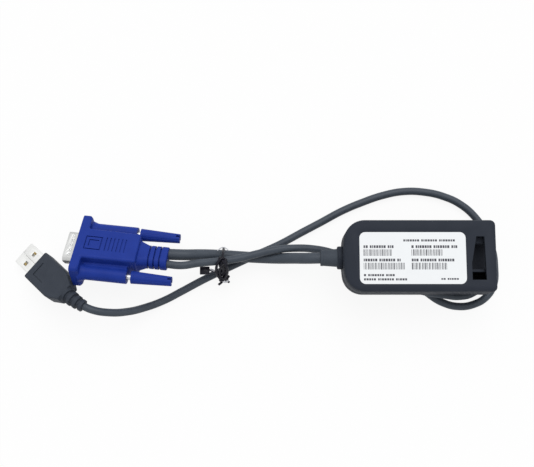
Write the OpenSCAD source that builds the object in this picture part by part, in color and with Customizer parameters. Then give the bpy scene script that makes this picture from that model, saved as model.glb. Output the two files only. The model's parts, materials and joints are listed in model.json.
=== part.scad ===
// Adapter cable that joins a computer's video and USB ports to a network switch port.
// Lengths are in millimetres. X runs from the plugs to the module, Y across, Z up from the table.

/* [Module] */
// Length of the electronics module
module_l = 73; // [70:1:80]
// Width of the electronics module
module_w = 34.5; // [33:0.5:40]
// Thickness of the electronics module
module_h = 20; // [19:0.5:24]
// Wall thickness of both covers
wall = 1.8; // [1.5:0.1:2.2]
// Corner radius at the cable end
cable_end_r = 10; // [6:0.5:12]
// Corner radius at the socket end
socket_end_r = 2.5; // [1.5:0.5:4]
// Rise of the bow of the cable end
end_bow = 0.5; // [0.3:0.1:1]
// Rounding of the outer top and bottom edges
edge_r = 1.6; // [1:0.1:2]
// Height of the parting line above the underside
split_z = 8; // [7:0.25:9]
// Width of the groove that marks the parting line
parting_gap = 0.4; // [0.2:0.1:0.6]

/* [Label] */
// Length of the label
label_l = 50.6; // [44:0.2:52]
// Width of the label
label_w = 24.8; // [20:0.2:26]
// Thickness of the label
label_t = 0.25; // [0.15:0.05:0.3]
// Corner radius of the label
label_r = 2.8; // [1:0.2:4]
// Distance from the cable end to the label
label_x = 7.7; // [7:0.1:9]
// Sideways offset of the label from the module's middle line
label_y = -1.2; // [-2:0.1:2]

/* [Latch window] */
// Length of the window across the module
window_l = 20.8; // [16:0.2:22]
// Width of the window at its wide end
window_wide = 6.8; // [6:0.1:8]
// Width of the window at its narrow end
window_narrow = 4.4; // [4:0.1:6]
// Distance from the socket end to the window
window_end = 5.2; // [4:0.1:7]

/* [Network socket] */
// Width of the socket body
jack_w = 15.6; // [15:0.1:17]
// Height of the socket body
jack_h = 11.6; // [11:0.1:12]
// Depth of the socket body
jack_d = 18; // [16:0.5:20]
// Width of the plug opening
port_w = 11.9; // [11.8:0.1:12.2]
// Height of the plug opening
port_h = 6.9; // [6.8:0.1:7.2]
// Depth of the plug opening
port_d = 12.6; // [11:0.2:13]
// Width of the latch channel over the opening
latch_w = 6.4; // [6.2:0.1:6.8]
// Height of the latch channel
latch_h = 1.5; // [1.3:0.1:1.6]
// Distance from the module's end to the socket's face
jack_recess = 15.5; // [14.5:0.5:17]
// Spacing of the contacts
contact_pitch = 1.02; // [1:0.01:1.04]

/* [Circuit board] */
// Thickness of the board
board_t = 1.6; // [1.2:0.2:1.6]
// Height of the board's underside in the module
board_z = 4; // [3.6:0.1:4.4]
// Gap between the board's edge and the covers' walls
board_gap = 1.45; // [1:0.05:2]

/* [Video plug] */
// Width of the flange
flange_w = 33; // [32:0.5:35]
// Height of the flange
flange_h = 15.5; // [15:0.25:17]
// Thickness of the flange
flange_t = 3.4; // [3:0.1:4]
// Length of the hood from its front to its back wall
hood_l = 30.5; // [29.5:0.5:34]
// Width of the hood between the screw sleeves
hood_w = 17.2; // [16.6:0.1:17.4]
// Spacing of the two thumbscrews
screw_spacing = 25; // [24.9:0.1:25.1]
// Length of the screw sleeves
sleeve_l = 27; // [26:0.5:28]
// Radius of the screw sleeves
sleeve_r = 3.5; // [3.3:0.1:3.8]
// Length of the ribbed relief behind the hood
relief_l = 14; // [12:0.5:18]
// Width of the metal D shell
d_shell_w = 16.9; // [16.9:0.1:17.1]
// Height of the metal D shell
d_shell_h = 8.3; // [8.3:0.1:8.5]
// Length of the D shell in front of the flange
d_shell_l = 5.8; // [5.6:0.1:6]

/* [Thumbscrews] */
// Radius of the screw thread
screw_r = 1.42; // [1.4:0.01:1.44]
// Running clearance of the screw in its bores
screw_play = 0.08; // [0.05:0.01:0.1]
// Length of the knob
knob_l = 19.5; // [16:0.5:22]
// Radius of the knob at its front
knob_front_r = 3.1; // [2.8:0.1:3.3]
// Radius of the knob at its back
knob_back_r = 2.3; // [2:0.1:2.8]
// Reach of the screw tip past the flange when the knob is home
tip_reach = 3.2; // [3:0.1:5]
// Gap between the north knob and its sleeve as it lies
north_gap = 1.5; // [0.5:0.1:2.5]
// Gap between the south knob and its sleeve as it lies
south_gap = 2.1; // [0.5:0.1:2.5]

/* [USB plug] */
// Width of the metal shell
usb_w = 12; // [11.9:0.1:12.1]
// Height of the metal shell
usb_h = 4.5; // [4.4:0.1:4.6]
// Wall of the metal shell
usb_wall = 0.3; // [0.25:0.05:0.4]
// Length of the metal shell in front of the grip
usb_reach = 11.8; // [11.7:0.1:12.5]
// Width of the moulded grip
grip_w = 15.8; // [15:0.1:17]
// Height of the moulded grip
grip_h = 8.2; // [7.6:0.1:9]
// Length of the straight part of the grip
grip_l = 17; // [14:0.5:20]
// Length of the tapered part of the grip
grip_taper = 7.5; // [5:0.5:9]

/* [Cables] */
// Diameter of the video cable
video_d = 5.5; // [5.2:0.1:5.5]
// Diameter of the USB cable
usb_d = 3.8; // [3.5:0.1:3.8]
// Diameter of the tie's coated wire
tie_d = 1.2; // [1:0.1:1.4]

/* [Hidden] */

$fn = 48;
// Every cut runs past the face that it opens by this much
overrun = 0.5;
// Clearance between pieces that are laid in each other
seat = 0.05;

// Module frame: its corner lies at the cable end, on the middle line, at the underside
module_at = [44.8, 3, 8];
mid_h = module_h / 2;
label_pocket = label_t + seat;
// Heights of the slabs that shape the rounded edge, as shares of its radius
edge_shares = [0, 0.3];
bow_shares = [-0.6, 0, 0.6];
slab_t = 0.01;
lip_h = 1.2;
lip_play = 0.1;
boss_r = 2.8;
boss_gap = 0.4;
pilot_r = 0.9;
screw_shank_r = 1.05;
screw_shank_play = 0.15;
screw_head_r = 2.1;
screw_head_h = 1.4;
screw_sink = 0.6;
screw_l = 8.5;
screw_slot = 0.5;
board_x = 5;
board_r = 4;
board_top = board_z + board_t;
board_w = module_w - 2 * wall - 2 * board_gap;
post_r = 1.8;
post_inset = 2.6;
jack_face_x = module_l - jack_recess;
jack_x = jack_face_x - jack_d;
port_floor = 1.9;
port_z = board_top + port_floor;
port_play = 0.3;
window_lean_share = 0.12;
window_bend_share = 0.12;
port_wall = 1.2;
sleeve_side = port_w / 2 + port_play + port_wall;
spring_start = 2.4;
spring_l = 9;
spring_rise = 2.6;
spring_gap = 1;
contacts = 8;
board_end_gap = 0.4;

// Cable boot of the module
boot_x = -2.3;
boot_z = mid_h;
boot_wall = wall + end_bow + seat;
boot_tip_r = 3.8;
boot_base_r = 4.4;
boot_l = 8;
collar_r = 5.6;
collar_t = 2.3;
neck_r = 3.6;
boot_flange_r = 5.2;
boot_flange_t = 1.6;
boot_tail_l = 3;
boot_lip_l = 1.2;
boot_lip_r = 4;

// Parts on the board
header_size = [4.2, 12.6, 4.8];
header_x = 11.2;
lead_w = 0.4;
lead_t = 0.25;
lead_reach = 1;
lead_pitch = 1.27;
chip_h = 1.5;
transformer_h = 5.4;
crystal_h = 3.4;
crystal_rim = 0.35;
crystal_rim_h = 0.5;
cap_h = 5.2;
cap_r = 2;
cap_gap = 0.4;
cap_bead = 0.15;
cap_bead_share = 0.2;
header_wall = 0.6;
header_pitch = 2;
header_pins = 5;
plug_t = 3.6;
wire_r = 0.45;
wire_spread = 1.1;
wire_end_gap = 0.3;

// Free stretch of the board between the header and the socket, and what it carries.
// Places and sizes are shares of the stretch's length and of the board's width.
free_x = header_x + header_size[0];
free_l = jack_x - free_x;
transformer_at_shares = [0.38, 0.1];
transformer_shares = [0.52, 0.27];
controller_at_shares = [0.34, -0.265];
controller_shares = [0.38, 0.3];
crystal_at_shares = [0.78, -0.27];
crystal_shares = [0.17, 0.375];
memory_at_shares = [0.78, 0.1];
memory_shares = [0.16, 0.17];

// Video plug frame: the middle of the flange's front face, X towards the cable
video_at = [-83.7, 7.4, 14.35];
video_turn = [-26.5, -4, -6.3];
flange_r = 2;
sleeve_y = screw_spacing / 2;
sleeve_flare_r = 4.4;
sleeve_flare_l = 2.4;
web_h = 5.6;
hood_back_drop = 0.8;
hood_edge_r = 1.6;
relief_w = 11.8;
relief_h = 7.8;
relief_r = 3.8;
relief_neck_l = 3.6;
relief_neck_w = 14.6;
relief_neck_h = 11;
relief_grooves = 3;
relief_groove_w = 0.9;
relief_groove_depth = 0.9;
relief_groove_start = 4.6;
relief_groove_step = 2.7;
mould_w = 14.4;
mould_h = 10.8;
mould_l = 14;
mould_tail_w = 10.4;
mould_tail_h = 7;
mould_tail_l = 5;
mould_r = 1.5;
plate_w = 30.8;
plate_h = 12.4;
plate_t = 0.5;
plate_r = 1.2;
plate_hole_r = 1.55;
d_wall = 0.4;
d_corner_r = 2.2;
d_lean = 10;
rear_shell_l = 7.5;
rear_inset = 0.7;
dimple_r = 0.7;
dimples = 5;
dimple_step = 2.8;
pin_r = 0.5;
pin_reach = 5;
pin_tail = 11.5;
pin_pitch = 2.29;
pin_row_pitch = 1.98;
pins_in_row = 5;
insulator_front = -0.6;
insulator_play = 0.1;

// Icon and grip lines pressed into the hood
mark_depth = 0.3;
mark_line = 0.5;
icon_at = [8.4, 0];
icon_l = 8.2;
icon_w = 7.6;
icon_screen_share = 0.6;
bar_start = 14.4;
bar_step = 1.9;
bars = 6;
bar_l = 7.6;

// Thumbscrew details
chamber_r = 2.7;
chamber_start = 5;
chamber_end = 24;
ring_x = 12;
ring_t = 0.8;
ring_r = 2.4;
ring_groove_r = 1.1;
ring_play = 0.06;
ring_mouth = 1.8;
tip_cone_l = 0.6;
tip_cone_r = 1;
knob_bore_l = 6;
knob_slot_w = 1;
knob_slot_depth = 1.8;
knob_flutes = 10;
flute_r = 0.45;
flute_sink = 0.15;
flute_end = 1.2;

// USB plug frame: the middle of the shell's open end, X towards the cable
usb_at = [-113.3, 6.95, 2.1];
usb_turn = [0, -24, -40.7];
usb_corner_r = 0.5;
usb_tail = 6;
usb_hole_w = 2.4;
usb_hole_l = 2;
usb_hole_x = 5.2;
usb_hole_y = 3;
usb_seam = 0.12;
tongue_w = 11.1;
tongue_t = 1.9;
tongue_x = 0.6;
contact_w = 1;
contact_t = 0.25;
contact_l = 8.6;
contact_ys = [-3.5, -1, 1, 3.5];
grip_r = 1.5;
grip_back_w = 9.2;
grip_back_h = 7.6;
usb_mould_w = 12.6;
usb_mould_h = 6.2;
usb_mould_l = 9;
grip_mark_l = 9.5;
grip_mark_w = 9.6;
grip_mark_x = 3;
usb_relief_l = 10.5;
usb_relief_r1 = 4;
usb_relief_r2 = 2.9;
usb_relief_slots = 3;
usb_relief_slot_depth = 1.1;
// The relief bends down and sideways with the cable
usb_relief_bend = 24;
usb_relief_plane = 30;
usb_relief_steps = 7;
usb_relief_lap = 0.25;

// Cable tubes
video_sides = 10;
usb_sides = 8;
tie_sides = 8;

// Middle line of the video cable, from the video plug to the module's boot
video_route = [
    [-40.5, 5, 16], [-32, 4.8, 15.6], [-23, 5.3, 12.2], [-14, 5.4, 9], [-5, 5, 7.2],
    [4, 4.5, 6.9], [13, 4, 8.4], [21.5, 3.5, 12.6], [29, 3, 16.6], [36, 3, 18]
];

// Middle line of the USB cable: from the video plug, one turn under the module, and back to its plug
usb_route = [
    [-41.2, 0, 18.7], [-33, -0.8, 19.2], [-24.5, 0.6, 17.4], [-15.5, 1.8, 14.6], [-6, 3.3, 12.8],
    [3, 5.6, 12.1], [12.5, 7.8, 11.8], [22, 8.8, 10.2], [32, 8.6, 8.6], [41, 7, 6.8],
    [50, 3.9, 5.2], [60, -1.5, 4.2], [70, -6.4, 4.2], [79.5, -10.4, 5.3], [88, -12.7, 5.9],
    [96.5, -14, 5.7], [104.2, -14.6, 4.2], [111.2, -12.9, 2.8], [116.2, -8.6, 2.2], [118.7, -2.2, 2],
    [118.2, 5.5, 2], [115.2, 12.6, 2], [109.8, 17.9, 2], [103, 20.9, 2], [95.6, 20.6, 2],
    [88.9, 17.2, 2], [84.2, 11.3, 2], [82, 4.2, 2], [82.4, -3, 2], [85.5, -9.2, 2],
    [90.5, -14, 2], [97, -17.8, 2], [104.4, -19.5, 2], [111.9, -18.4, 2], [118.3, -14.7, 2],
    [122.2, -8.4, 2], [123, 0.5, 2], [122.2, 9, 2], [119.3, 17.4, 2], [114.4, 25.4, 2],
    [107.4, 32, 2], [98.5, 36.4, 2], [88.5, 38.7, 2], [78, 39, 2], [67.5, 37, 2],
    [57, 33.4, 2], [46.5, 28.9, 2], [36, 23.2, 2], [25.5, 17.6, 2], [15, 11.9, 2],
    [4, 6.9, 2], [-6, 2.3, 2.2], [-15, -2.1, 3.1], [-24, -6.5, 2.8], [-34, -11.8, 2],
    [-43.5, -16.8, 2.6], [-52, -20.3, 5.8], [-60, -22.7, 11.3], [-68, -23.4, 16.8], [-75, -22.4, 19.3],
    [-81, -19.9, 19.1]
];

// Middle line of the wire tie round the three cable strands
tie_route = [
    [-15.5, -9, 6.5], [-13.5, -7, 5.5], [-13, -5, 9], [-13, -2.5, 14], [-13, 0.5, 17.2],
    [-13, 4, 17], [-13, 7.5, 13], [-13, 8.8, 9], [-13, 7, 4.5], [-13, 2.5, 1.2],
    [-13, -3, 0.7], [-12.5, -6, 2.5], [-10.5, -7.5, 4.5]
];

// Rectangle with rounded corners about the origin
module rounded_rect(w, h, r) {
    square([w - 2 * r, h], center = true);
    square([w, h - 2 * r], center = true);
    for (sx = [-1, 1], sy = [-1, 1])
        translate([sx * (w / 2 - r), sy * (h / 2 - r)])
            circle(r = r);
}

// Bar along X with a rounded rectangle as its section
module bar_x(l, w, h, r) {
    rotate([90, 0, 90])
        linear_extrude(height = l)
            rounded_rect(w, h, r);
}

// Round rod along X
module rod_x(l, r1, r2) {
    rotate([0, 90, 0])
        cylinder(h = l, r1 = r1, r2 = r2);
}

// Box that is centred across Y and starts at x and z
module box_at(x, y, z, l, w, h) {
    translate([x, y - w / 2, z])
        cube([l, w, h]);
}

// Corner circles of the module's plan, drawn in by an inset
module corner_circles(inset) {
    for (s = [-1, 1]) {
        translate([end_bow + cable_end_r, s * (module_w / 2 - cable_end_r)])
            circle(r = cable_end_r - inset);
        translate([module_l - socket_end_r, s * (module_w / 2 - socket_end_r)])
            circle(r = socket_end_r - inset);
    }
}

// Bow of the cable end, drawn in by an inset
module end_bow_form(inset) {
    reach = module_w / 2 - cable_end_r;
    polygon([for (share = bow_shares) [inset + end_bow * share * share, reach * share]]);
}

// Plan of the module without the bow, drawn in by an inset
module module_plan(inset) {
    x1 = end_bow + cable_end_r;
    x2 = module_l - socket_end_r;
    half_w = module_w / 2 - inset;
    corner_circles(inset);
    translate([x1, -half_w])
        square([x2 - x1, 2 * half_w]);
    translate([end_bow + inset, cable_end_r - module_w / 2])
        square([x2 - end_bow - inset, module_w - 2 * cable_end_r]);
    translate([x1, socket_end_r - module_w / 2])
        square([module_l - inset - x1, module_w - 2 * socket_end_r]);
}

// Straight block on the module's plan between two heights
module plan_block(inset, z0, z1) {
    translate([0, 0, z0])
        linear_extrude(height = z1 - z0)
            module_plan(inset);
}

// Block on the housing's bowed outline, drawn in by an inset
module housing_slab(z, inset, h) {
    translate([0, 0, z])
        linear_extrude(height = h) {
            corner_circles(inset);
            end_bow_form(inset);
        }
}

// Outer form of one half of the housing, standing on its rounded edge
module housing_half(h) {
    hull() {
        for (share = edge_shares)
            housing_slab(edge_r * share, edge_r * (1 - sqrt(share * (2 - share))), slab_t);
        housing_slab(edge_r, 0, h - edge_r);
    }
}

module in_module() {
    translate(module_at)
        children();
}

module in_video_plug() {
    translate(video_at)
        rotate(video_turn)
            children();
}

module in_usb_plug() {
    translate(usb_at)
        rotate(usb_turn)
            children();
}

// Space that the boot's neck takes in the end wall
module boot_seat() {
    translate([-overrun, 0, boot_z])
        rod_x(boot_wall + overrun, neck_r + seat, neck_r + seat);
}

// Way of the network plug from the module's end to the socket's face
module port_tunnel() {
    box_at(jack_face_x, 0, port_z - port_play,
        jack_recess + overrun, port_w + 2 * port_play, port_h + latch_h + 2 * port_play);
}

// Block that the plug's way is cut through, between two heights and out to a north side
module port_sleeve(z0, z1, north) {
    translate([jack_face_x + board_end_gap, -sleeve_side, z0])
        cube([jack_recess - board_end_gap - wall / 2, sleeve_side + north, z1 - z0]);
}

// Window over the plug's latch, narrow at its north end
module window_cut() {
    x1 = module_l - window_end;
    translate([0, label_y, port_z + port_h + latch_h])
        linear_extrude(height = module_h)
            polygon([
                [x1, -window_l / 2], [x1 - window_narrow * window_lean_share, window_l / 2],
                [x1 - window_narrow, window_l / 2], [x1 - window_wide, -window_l * window_bend_share],
                [x1 - window_wide, -window_l / 2]
            ]);
}

// Places of the two screw bosses, along one edge of the board
module boss_places() {
    for (x = [board_x + boss_r, jack_x - boss_r - boss_gap])
        translate([x, board_w / 2 - boss_r - boss_gap / 2, 0])
            children();
}

module top_cover() {
    color([0.2, 0.21, 0.24])
    in_module()
    difference() {
        union() {
            difference() {
                translate([0, 0, module_h])
                    mirror([0, 0, 1])
                        housing_half(module_h - split_z - parting_gap);
                plan_block(wall, 0, module_h - wall);
                // Rebate over the lower cover's rim
                plan_block(wall / 2 - lip_play, 0, split_z + lip_h + lip_play);
            }
            boss_places()
                translate([0, 0, board_top + seat])
                    cylinder(h = module_h - wall / 2 - board_top, r = boss_r);
            // The block closes the window's north end
            port_sleeve(split_z + lip_h + lip_play, module_h - wall / 2, label_y + window_l / 2 + port_wall);
        }
        box_at(jack_face_x, 0, port_z, jack_recess - wall, port_w + 2 * port_play, module_h - wall + seat - port_z);
        translate([label_x, label_y - label_w / 2, module_h - label_pocket])
            linear_extrude(height = label_pocket + overrun)
                translate([label_l / 2, label_w / 2])
                    rounded_rect(label_l + 2 * seat, label_w + 2 * seat, label_r);
        window_cut();
        port_tunnel();
        boot_seat();
        boss_places()
            cylinder(h = board_top + screw_l, r = pilot_r);
    }
}

module bottom_cover() {
    color([0.16, 0.17, 0.2])
    in_module()
    difference() {
        union() {
            difference() {
                union() {
                    housing_half(split_z);
                    plan_block(wall / 2, split_z / 2, split_z + lip_h);
                }
                plan_block(wall, wall, module_h);
            }
            boss_places()
                translate([0, 0, wall / 2])
                    cylinder(h = board_z - wall / 2, r = boss_r);
            for (x = [board_x + post_inset, jack_x - post_inset], s = [-1, 1])
                translate([x, s * (board_w / 2 - post_inset), wall / 2])
                    cylinder(h = board_z - wall / 2, r = post_r);
            port_sleeve(wall / 2, split_z, sleeve_side);
        }
        port_tunnel();
        boot_seat();
        boss_places() {
            translate([0, 0, -overrun])
                cylinder(h = screw_sink + screw_head_h + overrun, r = screw_head_r + screw_shank_play);
            cylinder(h = module_h, r = screw_shank_r + screw_shank_play);
        }
    }
}

module label() {
    color("white")
    in_module()
        translate([label_x + label_l / 2, label_y, module_h - label_pocket])
            linear_extrude(height = label_t)
                rounded_rect(label_l, label_w, label_r);
}

module cable_boot() {
    color([0.22, 0.24, 0.27])
    in_module()
    translate([0, 0, boot_z])
    union() {
        translate([boot_x - boot_l, 0, 0]) {
            rod_x(boot_l, boot_tip_r, boot_base_r);
            rod_x(boot_lip_l, boot_lip_r, boot_lip_r);
        }
        translate([boot_x, 0, 0])
            rod_x(collar_t, collar_r, collar_r);
        translate([boot_x + collar_t - seat, 0, 0])
            rod_x(boot_wall + seat, neck_r, neck_r);
        translate([boot_wall, 0, 0])
            rod_x(boot_flange_t, boot_flange_r, boot_flange_r);
        translate([boot_wall + boot_flange_t, 0, 0])
            rod_x(boot_tail_l, neck_r, video_d / 2);
    }
}

module case_screws() {
    color("silver")
    in_module()
    boss_places()
        translate([0, 0, screw_sink])
        difference() {
            union() {
                cylinder(h = screw_head_h - seat, r = screw_head_r);
                translate([0, 0, screw_head_h - seat])
                    cylinder(h = board_z - screw_sink - screw_head_h, r = screw_shank_r);
                cylinder(h = screw_l, r = pilot_r);
            }
            for (turn = [0, 90])
                rotate([0, 0, turn])
                    box_at(-screw_head_r / 2, 0, -overrun, screw_head_r, screw_slot, screw_head_h / 2 + overrun);
        }
}

module circuit_board() {
    color([0.1, 0.35, 0.2])
    in_module()
    difference() {
        translate([(board_x + jack_face_x) / 2, 0, board_z])
            linear_extrude(height = board_t)
                rounded_rect(jack_face_x - board_x, board_w, board_r);
        boss_places()
            cylinder(h = module_h, r = screw_shank_r + screw_shank_play);
    }
}

// Repeats its children at the sideways places of the socket's contacts
module at_contacts() {
    for (i = [0 : contacts - 1])
        translate([0, (i - (contacts - 1) / 2) * contact_pitch, 0])
            children();
}

module network_socket() {
    color([0.12, 0.12, 0.13])
    in_module()
    difference() {
        box_at(jack_x, 0, board_top, jack_d, jack_w, jack_h);
        box_at(jack_face_x - port_d, 0, port_z, port_d + overrun, port_w, port_h);
        box_at(jack_face_x - port_d / 2, 0, port_z + port_h - seat, port_d / 2 + overrun, latch_w, latch_h + seat);
        // Comb that the contact springs lie in
        at_contacts()
            box_at(jack_x + port_wall, 0, board_top + port_wall / 2,
                jack_d - 2 * port_wall, lead_w + 2 * seat, port_floor);
    }
}

// Contact springs, bent back over themselves near the socket's face
module socket_contacts() {
    front = jack_face_x - spring_start;
    back = front - spring_l;
    color("gold")
    in_module()
    at_contacts()
        translate([0, lead_w / 2, board_top + port_wall / 2 + seat])
            rotate([90, 0, 0])
                linear_extrude(height = lead_w)
                    polygon([
                        [back, 0], [front, 0], [front + lead_t, lead_t], [front, 2 * lead_t],
                        [back, 2 * lead_t + spring_rise], [back, lead_t + spring_rise],
                        [front - spring_gap, lead_t + seat], [front - spring_gap, lead_t], [back, lead_t]
                    ]);
}

// Chip body with a row of leads along two opposite sides, standing on the board
module chip(l, w, h) {
    leads = floor(l / lead_pitch);
    translate([0, 0, lead_t])
        linear_extrude(height = h - lead_t)
            square([l, w], center = true);
    for (i = [0 : leads - 1], s = [-1, 1])
        box_at((i - (leads - 1) / 2) * lead_pitch - lead_w / 2, s * (w / 2 + lead_reach / 2 - seat), 0,
            lead_w, lead_reach, 2 * lead_t);
}

// Puts its children on the board at shares of the free stretch
module on_board(at_shares) {
    in_module()
        translate([free_x + free_l * at_shares[0], board_w * at_shares[1], board_top])
            children();
}

module pulse_transformer() {
    color([0.1, 0.1, 0.1])
    on_board(transformer_at_shares)
        chip(free_l * transformer_shares[0], board_w * transformer_shares[1], transformer_h);
}

module controller_chip() {
    l = free_l * controller_shares[0];
    w = board_w * controller_shares[1];
    color([0.13, 0.13, 0.14])
    on_board(controller_at_shares)
    union() {
        chip(l, w, chip_h);
        rotate([0, 0, 90])
            chip(w, l, chip_h);
    }
}

module memory_chip() {
    color([0.13, 0.13, 0.14])
    on_board(memory_at_shares)
        chip(free_l * memory_shares[0], board_w * memory_shares[1], chip_h);
}

module crystal() {
    w = free_l * crystal_shares[0];
    l = board_w * crystal_shares[1];
    color("silver")
    on_board(crystal_at_shares) {
        linear_extrude(height = crystal_rim_h)
            rounded_rect(w + 2 * crystal_rim, l + 2 * crystal_rim, w / 2 + crystal_rim - seat);
        linear_extrude(height = crystal_h)
            rounded_rect(w, l, w / 2 - seat);
    }
}

// One capacitor on each side of the network socket
module capacitors() {
    color([0.2, 0.2, 0.3])
    in_module()
    for (s = [-1, 1])
        translate([jack_x + cap_gap + cap_r, s * (jack_w / 2 + cap_gap + cap_r), board_top])
            rotate_extrude()
                union() {
                    square([cap_r, cap_h]);
                    translate([0, cap_h * cap_bead_share])
                        square([cap_r + cap_bead, cap_bead]);
                }
}

module board_header() {
    color("ivory")
    in_module()
    difference() {
        box_at(header_x, 0, board_top, header_size[0], header_size[1], header_size[2]);
        box_at(header_x - overrun, 0, board_top + header_wall,
            header_size[0] - header_wall + overrun, header_size[1] - 2 * header_wall,
            header_size[2] - 2 * header_wall);
    }
}

module header_plug() {
    color("white")
    in_module()
        box_at(header_x - header_wall, 0, board_top + header_wall + seat,
            header_size[0] - seat, header_size[1] - 2 * header_wall - 2 * seat, plug_t - 2 * seat);
}

module header_wires() {
    color("red")
    in_module() {
        x0 = boot_wall + boot_flange_t + boot_tail_l + wire_end_gap;
        x1 = header_x - header_wall - wire_end_gap;
        z1 = board_top + header_size[2] / 2;
        for (i = [0 : header_pins - 1]) {
            y1 = (i - (header_pins - 1) / 2) * header_pitch;
            y0 = y1 * wire_spread / header_pitch;
            reach = [x1 - x0, y1 - y0, z1 - boot_z];
            l = norm(reach);
            translate([x0, y0, boot_z])
                rotate([0, acos(reach[2] / l), atan2(reach[1], reach[0])])
                    cylinder(h = l, r = wire_r);
        }
    }
}

// Outline of the D connector, grown on every side
module d_outline(grow) {
    r = d_corner_r + grow;
    w = d_shell_w / 2 + grow - r;
    h = d_shell_h / 2 + grow - r;
    lean = d_shell_h * tan(d_lean);
    hull() {
        for (s = [-1, 1]) {
            translate([s * w, h])
                circle(r = r, $fn = 32);
            translate([s * (w - lean), -h])
                circle(r = r, $fn = 32);
        }
    }
}

// Extrudes the D outline along X
module d_bar(x, l, grow) {
    translate([x, 0, 0])
        rotate([90, 0, 90])
            linear_extrude(height = l)
                d_outline(grow);
}

module relief_section(x, l, inset) {
    translate([x, 0, 0])
        bar_x(l, relief_w - 2 * inset, relief_h - 2 * inset, relief_r - inset);
}

// Solid form of the moulded hood without its bores
module hood_form() {
    bar_x(flange_t, flange_w, flange_h, flange_r);
    hull() {
        translate([flange_t / 2, 0, 0])
            bar_x(slab_t, hood_w, flange_h, hood_edge_r, $fn = 32);
        translate([hood_l - slab_t, 0, 0])
            bar_x(slab_t, hood_w - hood_back_drop, flange_h - hood_back_drop, hood_edge_r, $fn = 32);
    }
    for (s = [-1, 1]) {
        translate([0, s * sleeve_y, 0]) {
            rod_x(sleeve_l, sleeve_r, sleeve_r);
            translate([flange_t, 0, 0])
                rod_x(sleeve_flare_l, sleeve_flare_r, sleeve_r);
        }
        box_at(flange_t / 2, s * (sleeve_y / 2 + hood_w / 4 - seat), -web_h / 2,
            sleeve_l - flange_t / 2, sleeve_y - hood_w / 2 + 2 * seat, web_h);
    }
    hull() {
        translate([hood_l - 2 * slab_t, 0, 0])
            bar_x(slab_t, relief_neck_w, relief_neck_h, relief_r, $fn = 32);
        translate([hood_l + relief_neck_l, 0, 0])
            bar_x(slab_t, relief_w, relief_h, relief_r, $fn = 32);
    }
    relief_section(hood_l, relief_l, 0);
}

// Generic screen sign and grip bars pressed into the hood's top
module hood_marks() {
    z = flange_h / 2 - hood_back_drop / 2 - mark_depth;
    translate([icon_at[0], icon_at[1], z])
        linear_extrude(height = flange_h)
            difference() {
                square([icon_l, icon_w], center = true);
                square([icon_l - 2 * mark_line, icon_w - 2 * mark_line], center = true);
            }
    translate([icon_at[0], icon_at[1], z])
        linear_extrude(height = flange_h)
            difference() {
                square([icon_l, icon_w] * icon_screen_share, center = true);
                square([icon_l * icon_screen_share - mark_line, icon_w * icon_screen_share - mark_line],
                    center = true);
            }
    for (i = [0 : bars - 1])
        box_at(bar_start + i * bar_step, 0, z, mark_line, bar_l, flange_h);
}

module video_hood() {
    color([0.13, 0.22, 0.6])
    in_video_plug()
    difference() {
        hood_form();
        // Recess for the metal plate, and the room of the inner mould
        translate([-overrun, 0, 0])
            bar_x(plate_t + overrun + seat, plate_w + 2 * seat, plate_h + 2 * seat, plate_r);
        d_bar(0, plate_t + rear_shell_l + 2 * seat, 2 * seat - rear_inset);
        translate([plate_t + rear_shell_l, 0, 0])
            bar_x(mould_l + seat, mould_w + 2 * seat, mould_h + 2 * seat, mould_r);
        translate([plate_t + rear_shell_l + mould_l, 0, 0])
            bar_x(mould_tail_l + seat, mould_tail_w + 2 * seat, mould_tail_h + 2 * seat, mould_r);
        for (s = [-1, 1])
            translate([0, s * sleeve_y, 0]) {
                translate([-overrun, 0, 0])
                    rod_x(sleeve_l + 2 * overrun, screw_r + screw_play, screw_r + screw_play);
                translate([chamber_start, 0, 0])
                    rod_x(chamber_end - chamber_start, chamber_r, chamber_r);
            }
        for (i = [0 : relief_grooves - 1])
            difference() {
                translate([hood_l + relief_groove_start + i * relief_groove_step, 0, 0])
                    bar_x(relief_groove_w, 2 * relief_w, 2 * relief_h, relief_r);
                relief_section(hood_l, relief_l, relief_groove_depth);
            }
        hood_marks();
    }
}

module video_inner_mould() {
    color([0.85, 0.85, 0.82])
    in_video_plug()
        translate([plate_t + rear_shell_l + seat, 0, 0])
        difference() {
            union() {
                bar_x(mould_l - seat, mould_w, mould_h, mould_r);
                translate([mould_l - seat, 0, 0])
                    bar_x(mould_tail_l, mould_tail_w, mould_tail_h, mould_r);
            }
            // Holes that the pins' solder tails stand in
            translate([-plate_t - rear_shell_l - seat, 0, 0])
                pin_field()
                    rod_x(pin_tail + seat, pin_r + seat, pin_r + seat);
        }
}

// Places of the fifteen pins, with the middle row offset by half a pitch
module pin_field() {
    for (row = [-1 : 1], i = [0 : pins_in_row - 1])
        translate([0, (i - (pins_in_row - 1) / 2) * pin_pitch + (row == 0 ? -1 : 1) * pin_pitch / 4,
            row * pin_row_pitch])
            children();
}

module video_front_shell() {
    color("silver")
    in_video_plug()
    difference() {
        union() {
            bar_x(plate_t, plate_w, plate_h, plate_r);
            d_bar(-d_shell_l, d_shell_l + plate_t, 0);
        }
        d_bar(-d_shell_l - overrun, d_shell_l + plate_t + 2 * overrun, -d_wall);
        for (s = [-1, 1])
            translate([-overrun, s * sleeve_y, 0])
                rod_x(plate_t + 2 * overrun, plate_hole_r, plate_hole_r);
        // Row of grounding dimples along the long sides
        for (i = [0 : dimples - 1], s = [-1, 1])
            translate([-d_shell_l / 2, (i - (dimples - 1) / 2) * dimple_step, s * (d_shell_h / 2 + dimple_r / 2)])
                sphere(r = dimple_r, $fn = 24);
    }
}

module video_rear_shell() {
    color([0.75, 0.76, 0.78])
    in_video_plug()
    difference() {
        d_bar(plate_t + seat, rear_shell_l - seat, -rear_inset);
        d_bar(plate_t - overrun, rear_shell_l + 2 * overrun, -rear_inset - d_wall);
    }
}

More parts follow.
